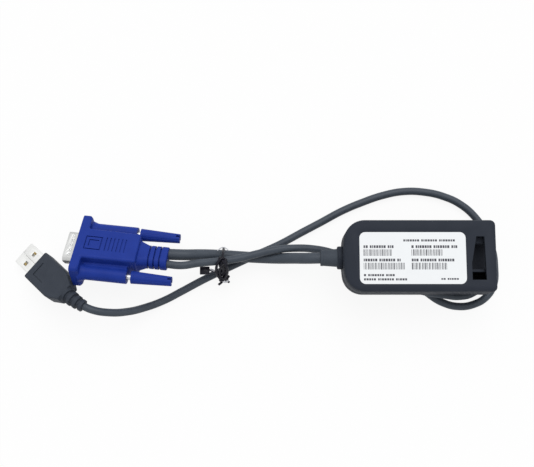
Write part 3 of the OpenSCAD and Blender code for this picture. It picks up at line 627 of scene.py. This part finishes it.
@dataclass
class Studio:
    """Camera, floor and light of the photograph, in metres and degrees."""

    camera_at: Point = (0.0085, -0.0488, 0.4451)
    looks_at: Point = (0.0085, 0.0177, 0.0)
    lens: float = 59.66
    sensor: float = 36.0
    nearest: float = 0.01
    floor_size: float = 6.0
    floor_drop: float = 0.05 * MM
    floor_tone: float = 0.9
    floor_glow: float = 0.9
    sky: float = 0.55
    sun: float = 1.75
    sun_spread: float = 50.0
    sun_heading: Point = (-0.1, -0.55, -1.0)

    def build(self) -> None:
        """Makes the camera, the floor, the lamp and the world."""
        self._add_camera()
        self._add_floor()
        self._add_light()

    def _add_camera(self) -> None:
        """Adds the camera at the photograph's angle."""
        rest()
        bpy.ops.object.camera_add(location=self.camera_at)
        camera = bpy.context.object
        camera.name = "photo_camera"
        camera.data.lens = self.lens
        camera.data.sensor_width = self.sensor
        camera.data.clip_start = self.nearest
        camera.rotation_mode = "QUATERNION"
        direction = Vector(self.looks_at) - Vector(self.camera_at)
        camera.rotation_quaternion = direction.to_track_quat("-Z", "Y")
        bpy.context.scene.camera = camera
        bpy.context.scene.view_settings.view_transform = "Standard"

    def _add_seen(self, tree: Tree) -> Socket:
        """Adds a value of one for what the camera and glossy pieces see.

        Args:
            tree: Node tree of a material or the world.

        Returns:
            The value's socket.
        """
        rays = tree.nodes.new("ShaderNodeLightPath")
        seen = tree.nodes.new("ShaderNodeMath")
        seen.operation = "MAXIMUM"
        tree.links.new(rays.outputs["Is Camera Ray"], seen.inputs[0])
        tree.links.new(rays.outputs["Is Glossy Ray"], seen.inputs[1])
        return seen.outputs["Value"]

    def _add_floor(self) -> None:
        """Adds the white floor, which keeps a part of the object's shadow."""
        rest()
        bpy.ops.mesh.primitive_plane_add(size=self.floor_size,
                                         location=(0.0, 0.0, -self.floor_drop))
        floor = bpy.context.object
        floor.name = "floor"
        sheet = bpy.data.materials.new("floor_paper")
        sheet.use_nodes = True
        nodes, links = sheet.node_tree.nodes, sheet.node_tree.links
        shader = nodes["Principled BSDF"]
        shader.inputs["Base Color"].default_value = (*[self.floor_tone] * 3, 1.0)
        shader.inputs["Roughness"].default_value = 0.9
        shader.inputs["Specular IOR Level"].default_value = 0.0
        glow = nodes.new("ShaderNodeEmission")
        share = nodes.new("ShaderNodeMath")
        share.operation = "MULTIPLY"
        share.inputs[1].default_value = self.floor_glow
        mix = nodes.new("ShaderNodeMixShader")
        links.new(self._add_seen(sheet.node_tree), share.inputs[0])
        links.new(share.outputs["Value"], mix.inputs["Fac"])
        links.new(shader.outputs["BSDF"], mix.inputs[1])
        links.new(glow.outputs["Emission"], mix.inputs[2])
        links.new(mix.outputs["Shader"], nodes["Material Output"].inputs["Surface"])
        floor.data.materials.append(sheet)

    def _add_light(self) -> None:
        """Adds a wide soft lamp over the far side and an even white sky."""
        rest()
        bpy.ops.object.light_add(type="SUN", location=(0.0, 0.4, 1.0))
        lamp = bpy.context.object
        lamp.name = "soft_lamp"
        lamp.data.energy = self.sun
        lamp.data.angle = math.radians(self.sun_spread)
        lamp.rotation_mode = "QUATERNION"
        lamp.rotation_quaternion = Vector(self.sun_heading).to_track_quat("-Z", "Y")
        world = bpy.data.worlds.new("white_room")
        bpy.context.scene.world = world
        world.use_nodes = True
        nodes, links = world.node_tree.nodes, world.node_tree.links
        sky = nodes["Background"]
        sky.inputs["Color"].default_value = WHITE
        sky.inputs["Strength"].default_value = self.sky
        seen_sky = nodes.new("ShaderNodeBackground")
        seen_sky.inputs["Color"].default_value = WHITE
        seen_sky.inputs["Strength"].default_value = 1.0
        mix = nodes.new("ShaderNodeMixShader")
        links.new(self._add_seen(world.node_tree), mix.inputs["Fac"])
        links.new(sky.outputs["Background"], mix.inputs[1])
        links.new(seen_sky.outputs["Background"], mix.inputs[2])
        links.new(mix.outputs["Shader"], nodes["World Output"].inputs["Surface"])


# Cords


@dataclass
class Route:
    """A cord that follows a line of points, all in millimetres."""

    name: str
    node: str
    points: Line
    diameter: float
    length: float
    exit: Point
    far_end: str
    stiffness: str
    lay: str
    finish: Finish
    slot: str

    def build(self) -> Piece:
        """Makes the cord as one open smooth curve.

        Returns:
            The curve, which stands for its CAD node.
        """
        curve = add_curve(self.name, self.points, self.diameter / 2, CORD_RINGS, CORD_ROUND)
        curve.data.render_resolution_u = CORD_RINGS
        bake_place(curve)
        finish_piece(curve, "adapter", self.finish, self.slot, self.node)
        return curve

    def declare(self, curve: Piece, with_pieces: Sequence[Piece] = ()) -> None:
        """Args:
            curve: The cord's curve; not used.
            with_pieces: Pieces that go with it; not used.
        """


VIDEO_POINTS: Line = (
    (-40.5, 5, 16), (-32, 4.8, 15.6), (-23, 5.3, 12.2), (-14, 5.4, 9), (-5, 5, 7.2),
    (4, 4.5, 6.9), (13, 4, 8.4), (21.5, 3.5, 12.6), (29, 3, 16.6), (36, 3, 18),
)

USB_POINTS: Line = (
    (-41.2, 0, 18.7), (-33, -0.8, 19.2), (-24.5, 0.6, 17.4), (-15.5, 1.8, 14.6), (-6, 3.3, 12.8),
    (3, 5.6, 12.1), (12.5, 7.8, 11.8), (22, 8.8, 10.2), (32, 8.6, 8.6), (41, 7, 6.8),
    (50, 3.9, 5.2), (60, -1.5, 4.2), (70, -6.4, 4.2), (79.5, -10.4, 5.3), (88, -12.7, 5.9),
    (96.5, -14, 5.7), (104.2, -14.6, 4.2), (111.2, -12.9, 2.8), (116.2, -8.6, 2.2),
    (118.7, -2.2, 2),
    (118.2, 5.5, 2), (115.2, 12.6, 2), (109.8, 17.9, 2), (103, 20.9, 2), (95.6, 20.6, 2),
    (88.9, 17.2, 2), (84.2, 11.3, 2), (82, 4.2, 2), (82.4, -3, 2), (85.5, -9.2, 2),
    (90.5, -14, 2), (97, -17.8, 2), (104.4, -19.5, 2), (111.9, -18.4, 2), (118.3, -14.7, 2),
    (122.2, -8.4, 2), (123, 0.5, 2), (122.2, 9, 2), (119.3, 17.4, 2), (114.4, 25.4, 2),
    (107.4, 32, 2), (98.5, 36.4, 2), (88.5, 38.7, 2), (78, 39, 2), (67.5, 37, 2),
    (57, 33.4, 2), (46.5, 28.9, 2), (36, 23.2, 2), (25.5, 17.6, 2), (15, 11.9, 2),
    (4, 6.9, 2), (-6, 2.3, 2.2), (-15, -2.1, 3.1), (-24, -6.5, 2.8), (-34, -11.8, 2),
    (-43.5, -16.8, 2.6), (-52, -20.3, 5.8), (-60, -22.7, 11.3), (-68, -23.4, 16.8),
    (-75, -22.4, 19.3), (-81, -19.9, 19.1),
)

TIE_POINTS: Line = (
    (-15.5, -9, 6.5), (-13.5, -7, 5.5), (-13, -5, 9), (-13, -2.5, 14), (-13, 0.5, 17.2),
    (-13, 4, 17), (-13, 7.5, 13), (-13, 8.8, 9), (-13, 7, 4.5), (-13, 2.5, 1.2),
    (-13, -3, 0.7), (-12.5, -6, 2.5), (-10.5, -7.5, 4.5),
)

KNOT_LOOP: Line = (
    (-13.0, 3.0, 18.4), (-14.8, 1.6, 18.2), (-16.0, -0.8, 16.6), (-16.2, -3.2, 13.8),
    (-15.4, -5.4, 10.6),
    (-13.6, -6.6, 8.2), (-11.6, -6.2, 8.2), (-10.4, -5.0, 9.6),
)

SECOND_LOOP: Line = (
    (-13.2, 1.8, 19.2), (-11.6, -0.4, 18.2), (-10.8, -2.8, 15.6), (-11.4, -5.0, 12.4),
    (-13.4, -6.2, 10.2),
    (-14.6, -4.2, 12.2), (-14.2, -1.6, 15.8), (-12.8, 0.4, 18.6),
)

KNOT_LEAD: Line = (
    (-14.6, -5.2, 9.8), (-16.4, -3.6, 11.2), (-18.4, -2.6, 11.4), (-20.4, -2.0, 11.0),
    (-22.0, -1.9, 10.95),
)

# Pale strips on the tie for painted highlights: an arc on its top, a spot by the flat end and one
# by the knot.
PAINTED_HIGHLIGHT_SPOTS: Sequence[Line] = (
    ((-15.8, 7.0, 14.4), (-14.4, 8.2, 14.7), (-13.0, 8.7, 14.8), (-11.6, 8.2, 14.7),
     (-10.2, 7.0, 14.4)),
    ((-19.3, -1.9, 11.75), (-18.2, -2.2, 12.0), (-17.2, -2.8, 12.0)),
    ((-13.4, -7.6, 8.9), (-12.2, -7.9, 8.7), (-11.0, -7.4, 8.9), (-10.4, -6.6, 9.2)),
)


@dataclass
class Cabling:
    """The two cables and the wire tie that bundles them, in millimetres."""

    video_d: float = 5.5
    video_l: float = 80.0
    video_exit: Point = (-39.2, 4.7, 16.3)
    usb_d: float = 3.8
    usb_l: float = 546.0
    usb_exit: Point = (-40.0, -0.1, 18.8)
    tie_d: float = 1.2
    tie_l: float = 54.0
    tie_exit: Point = (-15.5, -9.0, 6.5)
    flat_end_low: Point = (-24.6, -4.4, 10.6)
    flat_end_high: Point = (-19.8, -0.4, 11.3)
    flat_end_r: float = 0.3
    twist_start: Point = (-13.0, 2.6, 18.3)
    twist_end: Point = (-13.2, -6.8, 7.2)
    twist_bow: float = 1.2
    twist_r: float = 1.5
    twist_turns: float = 2.5
    twist_steps: int = 30
    twist_wire_r: float = 0.75
    first_loop_r: float = 0.7
    second_loop_r: float = 0.6
    lead_r: float = 0.5
    painted_highlight_arc_r: float = 0.22
    painted_highlight_spot_r: float = 0.4

    def build(self) -> tuple[Route, Piece]:
        """Returns:
            The USB cable's route and curve.
        """
        video = Route("video_cable_jacket", "video_cable", VIDEO_POINTS, self.video_d,
                      self.video_l, self.video_exit, "object", "stiff", "loose", JACKET, "jacket")
        video.declare(video.build())
        usb = Route("usb_cable_jacket", "usb_cable", USB_POINTS, self.usb_d, self.usb_l,
                    self.usb_exit, "plug", "medium", "loose", JACKET, "jacket")
        usb_curve = usb.build()
        tie = Route("wire_tie_band", "wire_tie", TIE_POINTS, self.tie_d, self.tie_l,
                    self.tie_exit, "bare", "limp", "taut", TIE, "tie")
        tie.declare(tie.build(), [self._build_knot(), self._build_painted_highlight_spots()])
        return usb, usb_curve

    def _build_knot(self) -> Piece:
        """Builds the twisted knot of the tie, with its loose loop and its flat end.

        Returns:
            The knot as one piece.
        """
        knot = add_box("tie_knot", self.flat_end_low, self.flat_end_high)
        round_edges(knot, self.flat_end_r, lambda a, b: True, 2)
        for phase in (0.0, math.pi):
            join_shell(knot, add_wire("twist", self._helix(phase), self.twist_wire_r))
        join_shell(knot, add_wire("loop", KNOT_LOOP, self.first_loop_r))
        join_shell(knot, add_wire("second_loop", SECOND_LOOP, self.second_loop_r))
        join_shell(knot, add_wire("lead", KNOT_LEAD, self.lead_r))
        smooth(knot)
        finish_piece(knot, "adapter", TIE, "tie")
        return knot

    def _helix(self, phase: float) -> list[Point]:
        """Gives the points of one strand that winds round the tie's band.

        Args:
            phase: Start of the strand round the band, in radians.

        Returns:
            The strand's points in millimetres.
        """
        start, end = Vector(self.twist_start), Vector(self.twist_end)
        along = (end - start).normalized()
        side = Vector((1.0, 0.0, 0.0))
        up = along.cross(side)
        points = []
        for i in range(self.twist_steps + 1):
            share = i / self.twist_steps
            angle = phase + share * self.twist_turns * 2 * math.pi
            middle = start.lerp(end, share) - up * self.twist_bow * math.sin(share * math.pi)
            offset = side * math.cos(angle) + up * math.sin(angle)
            points.append(tuple(middle + self.twist_r * offset))
        return points

    def _build_painted_highlight_spots(self) -> Piece:
        """Builds the pale strips on the tie that carry painted highlights.

        Returns:
            The painted highlights as one piece.
        """
        painted_highlight = add_wire("tie_worn_edges", PAINTED_HIGHLIGHT_SPOTS[0], self.painted_highlight_arc_r)
        for spot in PAINTED_HIGHLIGHT_SPOTS[1:]:
            join_shell(painted_highlight, add_wire("spot", spot, self.painted_highlight_spot_r))
        smooth(painted_highlight)
        finish_piece(painted_highlight, "adapter", TIE_PAINTED_HIGHLIGHT, "tie")
        return painted_highlight


# Video plug


@dataclass
class Plug:
    """A plug that is built along X in a frame of its own, in millimetres and degrees."""

    place: Point
    turn: Point

    def matrix(self) -> Matrix:
        """Gives the plug's place in the part's frame.

        Returns:
            The matrix from the plug's frame.
        """
        a, b, c = (math.radians(v) for v in self.turn)
        return (Matrix.Translation(Vector(self.place) * MM) @ Matrix.Rotation(c, 4, "Z")
                @ Matrix.Rotation(b, 4, "Y") @ Matrix.Rotation(a, 4, "X"))


# Rooms of the metal shells, the insulator and the inner mould: start, end, half width, half height.
HOOD_ROOMS: Sequence[tuple[float, float, float, float]] = (
    (0.0, 8.1, 7.85, 3.55), (8.0, 22.1, 7.25, 5.45), (22.0, 27.1, 5.25, 3.55),
)


@dataclass
class VideoPlug(Plug):
    """Blue hood with its shells, pins and thumbscrews."""

    place: Point = (-83.7, 7.4, 14.35)
    turn: Point = (-26.5, -4.0, -6.3)
    flange: Point = (3.4, 33.0, 15.5)
    hood_l: float = 30.5
    hood_w: float = 17.2
    back_drop: float = 0.8
    sleeve_l: float = 26.88
    sleeve_r: float = 3.5
    sleeve_y: float = 12.5
    flare_l: float = 3.4
    flare_r: float = 4.7
    web_h: float = 5.6
    relief_l: float = 14.0
    relief_w: float = 11.8
    relief_h: float = 7.8
    grooves: int = 3
    groove_x: float = 4.75
    groove_pitch: float = 2.7
    groove_w: float = 0.8
    groove_depth: float = 1.3
    skin_step: float = 0.24
    skin_passes: int = 3
    bore_r: float = 1.6
    chamber_x: float = 5.0
    chamber_l: float = 19.0
    chamber_r: float = 2.7
    plate_w: float = 30.9
    plate_h: float = 12.5
    plate_depth: float = 0.55
    mark_depth: float = 0.3
    bars: int = 6
    bar_x: float = 14.4
    bar_pitch: float = 1.9
    bar_l: float = 7.6
    bar_w: float = 0.55

    def build(self, frame: dict) -> None:
        """Builds and dresses the plug.

        Args:
            frame: The loaded frame.
        """
        hood = self._hood_block()
        self._add_sleeves(hood)
        self._add_relief(hood)
        mould(hood, self.skin_step, self.skin_passes)
        self._cut_grooves(hood)
        self._cut_bores(hood)
        self._press_marks(hood)
        smooth(hood, 50.0)
        bake_place(hood, self.matrix())
        finish_piece(hood, "adapter", HOOD, "hood", "video_hood")
        for side in Side:
            self._build_thumbscrew(frame, side)
        shell = copy_node(frame, "video_front_shell", "connector_shell")
        round_all(shell, 0.12, 2, 50.0)
        finish_piece(shell, "adapter", SATIN_NICKEL, "shell_nickel", "video_front_shell")
        dress_nodes(frame, {"video_rear_shell": NICKEL, "video_insulator": INSULATOR,
                            "video_pins": GOLD, "video_inner_mould": PALE_MOULD})

    def _hood_block(self) -> Piece:
        """Makes the flange and the block behind it.

        Returns:
            The hood's first form.
        """
        flange_t, flange_w, flange_h = self.flange
        hood = add_box("plug_hood", (0, -flange_w / 2, -flange_h / 2),
                       (flange_t, flange_w / 2, flange_h / 2))
        round_edges(hood, 2.0, lambda a, b: abs(a.x - b.x) > 1)
        pick_end(hood)
        bpy.ops.mesh.extrude_region_move(TRANSFORM_OT_translate={"value": (1.0 * MM, 0, 0)})
        bpy.ops.transform.resize(value=(1.0, 0.94, 0.94))
        rest()
        block = add_box("hood_block", (flange_t / 2, -self.hood_w / 2, -flange_h / 2),
                        (self.hood_l, self.hood_w / 2, flange_h / 2))
        pick_end(block)
        narrow = 1 - self.back_drop / self.hood_w
        bpy.ops.transform.resize(value=(1.0, narrow, 1 - self.back_drop / flange_h))
        rest()
        round_edges(block, 1.1, lambda a, b: abs(a.x - b.x) > 5)
        round_edges(block, 0.9, lambda a, b: min(a.x, b.x) > self.hood_l - 0.1, 3)
        join_shell(hood, block)
        return hood

    def _add_sleeves(self, hood: Piece) -> None:
        """Adds the two screw sleeves with their flares and webs.

        Args:
            hood: The hood's form.
        """
        flange_t = self.flange[0]
        for side in Side:
            y = side.value * self.sleeve_y
            join_shell(hood, add_rod("sleeve", (flange_t / 2, y, 0),
                                     self.sleeve_l - flange_t / 2, self.sleeve_r))
            join_shell(hood, add_rod("flare", (flange_t - 0.2, y, 0), self.flare_l, self.flare_r,
                                     self.sleeve_r))
            edge = sorted((side.value * (self.hood_w / 2 - 1), y))
            join_shell(hood, add_box("web", (flange_t / 2, edge[0], -self.web_h / 2),
                                     (self.sleeve_l - 0.4, edge[1], self.web_h / 2)))

    def _add_relief(self, hood: Piece) -> None:
        """Adds the ribbed relief behind the hood.

        Args:
            hood: The hood's form.
        """
        neck = add_box("neck", (self.hood_l - 1.5, -7.3, -5.5), (self.hood_l + 3.6, 7.3, 5.5))
        pick_end(neck)
        bpy.ops.transform.resize(value=(1.0, self.relief_w / 14.6, self.relief_h / 11.0))
        rest()
        round_edges(neck, 3.0, lambda a, b: abs(a.x - b.x) > 2)
        join_shell(hood, neck)
        end = self.hood_l + self.relief_l
        half_w, half_h = self.relief_w / 2, self.relief_h / 2
        relief = add_box("relief", (self.hood_l - 1, -half_w, -half_h), (end, half_w, half_h))
        round_edges(relief, 3.6, lambda a, b: abs(a.x - b.x) > 5, 8)
        round_edges(relief, 0.5, lambda a, b: min(a.x, b.x) > end - 0.1, 3)
        join_shell(hood, relief)

    def _cut_grooves(self, hood: Piece) -> None:
        """Cuts the three thin grooves between the relief's ribs.

        Args:
            hood: The hood's form.
        """
        half_w, half_h = self.relief_w / 2, self.relief_h / 2
        for i in range(self.grooves):
            x = self.hood_l + self.groove_x + i * self.groove_pitch
            ring = add_box("groove", (x, -half_w - 3, -half_h - 3),
                           (x + self.groove_w, half_w + 3, half_h + 3))
            core_w, core_h = half_w - self.groove_depth, half_h - self.groove_depth
            core = add_box("core", (x - 1, -core_w, -core_h), (x + 2, core_w, core_h))
            round_edges(core, 2.3, lambda a, b: abs(a.x - b.x) > 2, 6)
            cut(ring, core)
            cut(hood, ring)

    def _cut_bores(self, hood: Piece) -> None:
        """Cuts the screw bores and the recess of the metal plate.

        Args:
            hood: The hood's form.
        """
        for side in Side:
            y = side.value * self.sleeve_y
            cut(hood, add_rod("bore", (-1, y, 0), self.sleeve_l + 2, self.bore_r, sides=32))
            cut(hood, add_rod("chamber", (self.chamber_x, y, 0), self.chamber_l, self.chamber_r,
                              sides=32))
        recess = add_box("recess", (-1, -self.plate_w / 2, -self.plate_h / 2),
                         (self.plate_depth, self.plate_w / 2, self.plate_h / 2))
        round_edges(recess, 1.2, lambda a, b: abs(a.x - b.x) > 1)
        cut(hood, recess)
        for x0, x1, half_w, half_h in HOOD_ROOMS:
            cut(hood, add_box("room", (x0, -half_w, -half_h), (x1, half_w, half_h)))

    def _press_marks(self, hood: Piece) -> None:
        """Presses the plain screen sign and the grip bars into the top.

        Args:
            hood: The hood's form.
        """
        z = self.flange[2] / 2 - self.back_drop / 2 - self.mark_depth
        outer = add_box("sign", (4.3, -3.8, z), (12.5, 3.8, z + 2))
        cut(outer, add_box("sign_inner", (4.8, -3.3, z - 1), (12.0, 3.3, z + 3)))
        cut(hood, outer)
        cut(hood, add_box("sign_line", (6.2, 1.4, z), (11.0, 1.9, z + 2)))
        cut(hood, add_box("sign_line_2", (6.2, -1.8, z), (6.7, 1.9, z + 2)))
        for i in range(self.bars):
            x = self.bar_x + self.bar_pitch * i
            cut(hood, add_box("bar", (x, -self.bar_l / 2, z),
                              (x + self.bar_w, self.bar_l / 2, z + 2)))

    def _build_thumbscrew(self, frame: dict, side: Side) -> None:
        """Builds one thumbscrew's knob and dresses its screw and ring.

        Args:
            frame: The loaded frame.
            side: Side of the plug.
        """
        name = side.name.lower()
        knob = copy_node(frame, f"{name}_knob", f"{name}_thumb_knob")
        round_all(knob, 0.25, 3, 30.0)
        finish_piece(knob, f"{name}_thumbscrew", HOOD, "hood", f"{name}_knob")
        dress_nodes(frame, {f"{name}_jackscrew": STEEL, f"{name}_ring": STEEL})


# USB plug


# Steps of the grip's tapered back: share of its length, scale across, scale up.
TAPER_STEPS: Sequence[tuple[float, float, float]] = (
    (0.3, 0.94, 0.99), (0.4, 0.78, 0.97), (0.3, 0.8, 0.97),
)


@dataclass
class UsbPlug(Plug):
    """USB plug with its shell, tongue and moulded grip."""

    place: Point = (-113.3, 6.95, 2.1)
    turn: Point = (0.0, -24.0, -40.7)
    reach: float = 11.8
    grip_w: float = 15.8
    grip_h: float = 8.2
    grip_l: float = 17.0
    taper_l: float = 7.5
    skin_step: float = 0.2
    skin_passes: int = 3
    relief_l: float = 10.5
    relief_r: float = 4.0
    relief_draft: float = 1.1
    rings: int = 7
    slot_depth: float = 1.1
    relief_bend: float = 24.0
    relief_plane: float = 30.0

    def build(self, frame: dict) -> Piece:
        """Builds and dresses the plug.

        Args:
            frame: The loaded frame.

        Returns:
            The grip, which goes with the cable.
        """
        grip = self._grip_block()
        self._add_relief(grip)
        mould(grip, self.skin_step, self.skin_passes)
        self._cut_grip(grip)
        smooth(grip, 50.0)
        bake_place(grip, self.matrix())
        finish_piece(grip, "adapter", GRIP, "boot", "usb_grip")
        shell = copy_node(frame, "usb_shell", "usb_metal_shell")
        round_all(shell, 0.08, 2, 50.0)
        finish_piece(shell, "adapter", NICKEL, "shell_nickel", "usb_shell")
        dress_nodes(frame, {"usb_tongue": PALE_MOULD, "usb_contacts": GOLD,
                            "usb_inner_mould": PALE_MOULD})
        return grip

    def _grip_block(self) -> Piece:
        """Makes the straight grip and its tapered back.

        Returns:
            The grip's first form.
        """
        half_w, half_h = self.grip_w / 2, self.grip_h / 2
        grip = add_box("plug_grip", (self.reach, -half_w, -half_h),
                       (self.reach + self.grip_l, half_w, half_h))
        pick_end(grip)
        for share, width, height in TAPER_STEPS:
            bpy.ops.mesh.extrude_region_move(
                TRANSFORM_OT_translate={"value": (self.taper_l * share * MM, 0, 0)})
            bpy.ops.transform.resize(value=(1.0, width, height))
        rest()
        round_edges(grip, 1.0, lambda a, b: abs(a.x - b.x) > 1)
        round_edges(grip, 0.5, lambda a, b: max(a.x, b.x) < self.reach + NUDGE, 3)
        return grip

    def _add_relief(self, grip: Piece) -> None:
        """Adds the bent relief with its slots.

        Args:
            grip: The grip's form.
        """
        start = self.reach + self.grip_l + self.taper_l
        bend = math.radians(self.relief_bend)
        bend_r = self.relief_l / bend
        plane = Matrix.Rotation(math.radians(self.relief_plane), 4, "X")
        for i in range(self.rings):
            share = i / self.rings
            radius = self.relief_r - self.relief_draft * share - (self.slot_depth if i % 2 else 0.0)
            ring = add_rod("relief_ring", (-0.5 if i == 0 else -0.1, 0, 0),
                           self.relief_l / self.rings + (0.6 if i == 0 else 0.3), radius, sides=40)
            turn = bend * share
            shift = Vector((bend_r * math.sin(turn), 0, -bend_r * (1 - math.cos(turn)))) * MM
            bake_place(ring, Matrix.Translation((start * MM, 0, 0)) @ plane
                       @ Matrix.Translation(shift) @ Matrix.Rotation(turn, 4, "Y"))
            join_shell(grip, ring)

    def _cut_grip(self, grip: Piece) -> None:
        """Cuts the shell's seat and the pressed corner line.

        Args:
            grip: The grip's form.
        """
        cut(grip, add_box("shell_seat", (self.reach - 1, -6.05, -2.3),
                          (self.reach + 6, 6.05, 2.3)))
        cut(grip, add_box("mould_room", (self.reach + 5.9, -6.35, -3.15),
                          (self.reach + 15.1, 6.35, 3.15)))
        top = self.grip_h / 2
        x = self.reach + 3.6
        cut(grip, add_box("line", (x, -4.2, top - 0.4), (x + 0.75, 3.2, top + 1)))
        cut(grip, add_box("line_2", (x, -4.2, top - 0.3), (x + 7.6, -3.75, top + 1)))


# Module


class Print(Enum):
    """Pattern of plain filler on the label: its widths, its gaps and the stride through them."""

    DASHES = ((0.9, 0.7, 1.0, 0.8, 0.5, 0.9, 1.0), (0.28, 0.28, 0.3, 0.28, 1.0, 0.28, 0.28), 2)
    RULES = ((0.2, 0.4, 0.2, 0.3, 0.2, 0.5, 0.25, 0.2, 0.35),
             (0.35, 0.3, 0.5, 0.3, 0.6, 0.3, 0.4), 1)


# Rows of the label: pattern, left, right, upper and lower limit, and place in the pattern.
LABEL_ROWS: Sequence[tuple[Print, float, float, float, float, int]] = (
    (Print.DASHES, 20.9, 46.5, 3.5, 4.5, 3), (Print.DASHES, 1.9, 17.1, 6.35, 7.65, 1),
    (Print.DASHES, 24.7, 46.5, 6.35, 7.65, 2), (Print.RULES, 1.9, 15.7, 8.3, 11.4, 1),
    (Print.RULES, 24.7, 40.0, 8.3, 11.3, 4), (Print.DASHES, 1.9, 20.4, 12.75, 14.05, 4),
    (Print.DASHES, 24.7, 46.0, 12.75, 14.05, 0), (Print.RULES, 1.9, 21.4, 14.7, 17.9, 2),
    (Print.RULES, 24.7, 41.8, 14.7, 17.9, 5), (Print.DASHES, 1.9, 17.1, 20.1, 21.1, 2),
    (Print.DASHES, 1.9, 22.3, 22.1, 23.1, 5), (Print.DASHES, 38.5, 47.5, 22.0, 22.8, 1),
)


@dataclass
class LabelPrint:
    """Plain dashes and rules printed on the label, from its north-west corner."""

    left: float = 52.5
    top: float = 14.2
    face: float = 27.955
    ink_t: float = 0.02

    def build(self) -> None:
        """Builds the print as one thin piece of ink."""
        rest()
        bars = [bar for row in LABEL_ROWS for bar in self._bars(*row)]
        piece = add_box("label_print", (0, 0, 0), (1, 1, 1))
        hold(piece)
        bpy.ops.object.mode_set(mode="EDIT")
        bpy.ops.mesh.select_all(action="SELECT")
        bpy.ops.mesh.delete(type="VERT")
        for x0, x1, y0, y1 in bars:
            middle = Vector((self.left + (x0 + x1) / 2, self.top - (y0 + y1) / 2,
                             self.face + self.ink_t / 2))
            bpy.ops.mesh.primitive_cube_add(
                size=1, location=middle * MM,
                scale=((x1 - x0) * MM, abs(y1 - y0) * MM, self.ink_t * MM))
        rest()
        finish_piece(piece, "adapter", INK, "label")

    def _bars(self, pattern: Print, x0: float, x1: float, y0: float, y1: float,
              phase: int) -> list[tuple[float, float, float, float]]:
        """Makes one row of dashes or rules of uneven widths.

        Args:
            pattern: Kind of filler.
            x0: Start of the row.
            x1: End of the row.
            y0: Upper limit.
            y1: Lower limit.
            phase: Place in the repeating pattern.

        Returns:
            Bars as x and y limits.
        """
        widths, gaps, stride = pattern.value
        bars, x, i = [], x0, phase
        while x + widths[i % len(widths)] < x1:
            end = x + widths[i % len(widths)]
            bars.append((x, end, y0, y1))
            x = end + gaps[i * stride % len(gaps)]
            i += 1
        return bars


INSIDE: dict[str, Finish] = {
    "case_screws": STEEL, "circuit_board": BOARD, "network_socket": SOCKET,
    "socket_contacts": GOLD, "pulse_transformer": CHIP, "controller_chip": CHIP,
    "memory_chip": CHIP, "crystal": NICKEL, "capacitors": CAN, "board_header": HEADER,
    "header_plug": HEADER, "header_wires": WIRE,
}

# Hidden forms of the module's boot: name, start, length, radius, last radius.
BOOT_FORMS: Sequence[tuple[str, float, float, float, Optional[float]]] = (
    ("boot_neck", 10.0, 3.0, 3.6, None), ("boot_flange", 12.65, 1.6, 5.2, None),
    ("boot_tail", 14.25, 3.0, 3.6, 2.75),
)


@dataclass
class Module:
    """Electronics module: covers, label, boot, socket and the board inside."""

    boot_tip: Point = (34.5, 3.0, 18.0)
    cone_l: float = 8.2
    cone_r: float = 3.8
    cone_end_r: float = 4.4
    lip_l: float = 1.2
    lip_r: float = 3.95
    collar_x: float = 8.0
    collar_l: float = 2.3
    collar_r: float = 5.6

    def build(self, frame: dict) -> None:
        """Builds and dresses the module.

        Args:
            frame: The loaded frame.
        """
        # The lower cover takes the darker copy of the cover plastic, which paints shade on the
        # housing's lower side.
        for node, finish in (("top_cover", COVER), ("bottom_cover", COVER_PAINTED_SHADE)):
            cover = copy_node(frame, node, f"{node}_shell")
            round_all(cover, 0.15, 2, 40.0)
            finish_piece(cover, "adapter", finish, "housing", node)
        dress_nodes(frame, {"label": PAPER})
        LabelPrint().build()
        self._build_boot()
        dress_nodes(frame, INSIDE)

    def _build_boot(self) -> None:
        """Builds the tapered boot with its collar."""
        x, y, z = self.boot_tip
        boot = add_rod("boot_cone", (x, y, z), self.cone_l, self.cone_r, self.cone_end_r)
        round_edges(boot, 0.4, lambda a, b: max(a.x, b.x) < x + NUDGE, 3)
        merge(boot, add_rod("boot_lip", (x, y, z), self.lip_l, self.lip_r))
        collar_x = x + self.collar_x
        collar = add_rod("boot_collar", (collar_x, y, z), self.collar_l, self.collar_r)
        round_edges(collar, 0.7, lambda a, b: max(a.x, b.x) < collar_x + NUDGE, 4)
        merge(boot, collar)
        for name, start, length, radius, last in BOOT_FORMS:
            merge(boot, add_rod(name, (x + start, y, z), length, radius, last))
        round_all(boot, 0.12, 2, 30.0)
        finish_piece(boot, "adapter", BOOT, "boot", "cable_boot")
        boot.data.materials.append(COVER.material())
        for face in boot.data.polygons:
            face.material_index = 1 if face.center.x > collar_x * MM else 0


def main() -> None:
    """Builds the whole scene in order."""
    logging.basicConfig(level=logging.INFO)
    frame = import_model()
    Studio().build()
    usb_route, usb_curve = Cabling().build()
    VideoPlug().build(frame)
    grip = UsbPlug().build(frame)
    usb_route.declare(usb_curve, [grip, bpy.data.objects["usb_metal_shell"]])
    Module().build(frame)


if __name__ == "__main__":
    main()
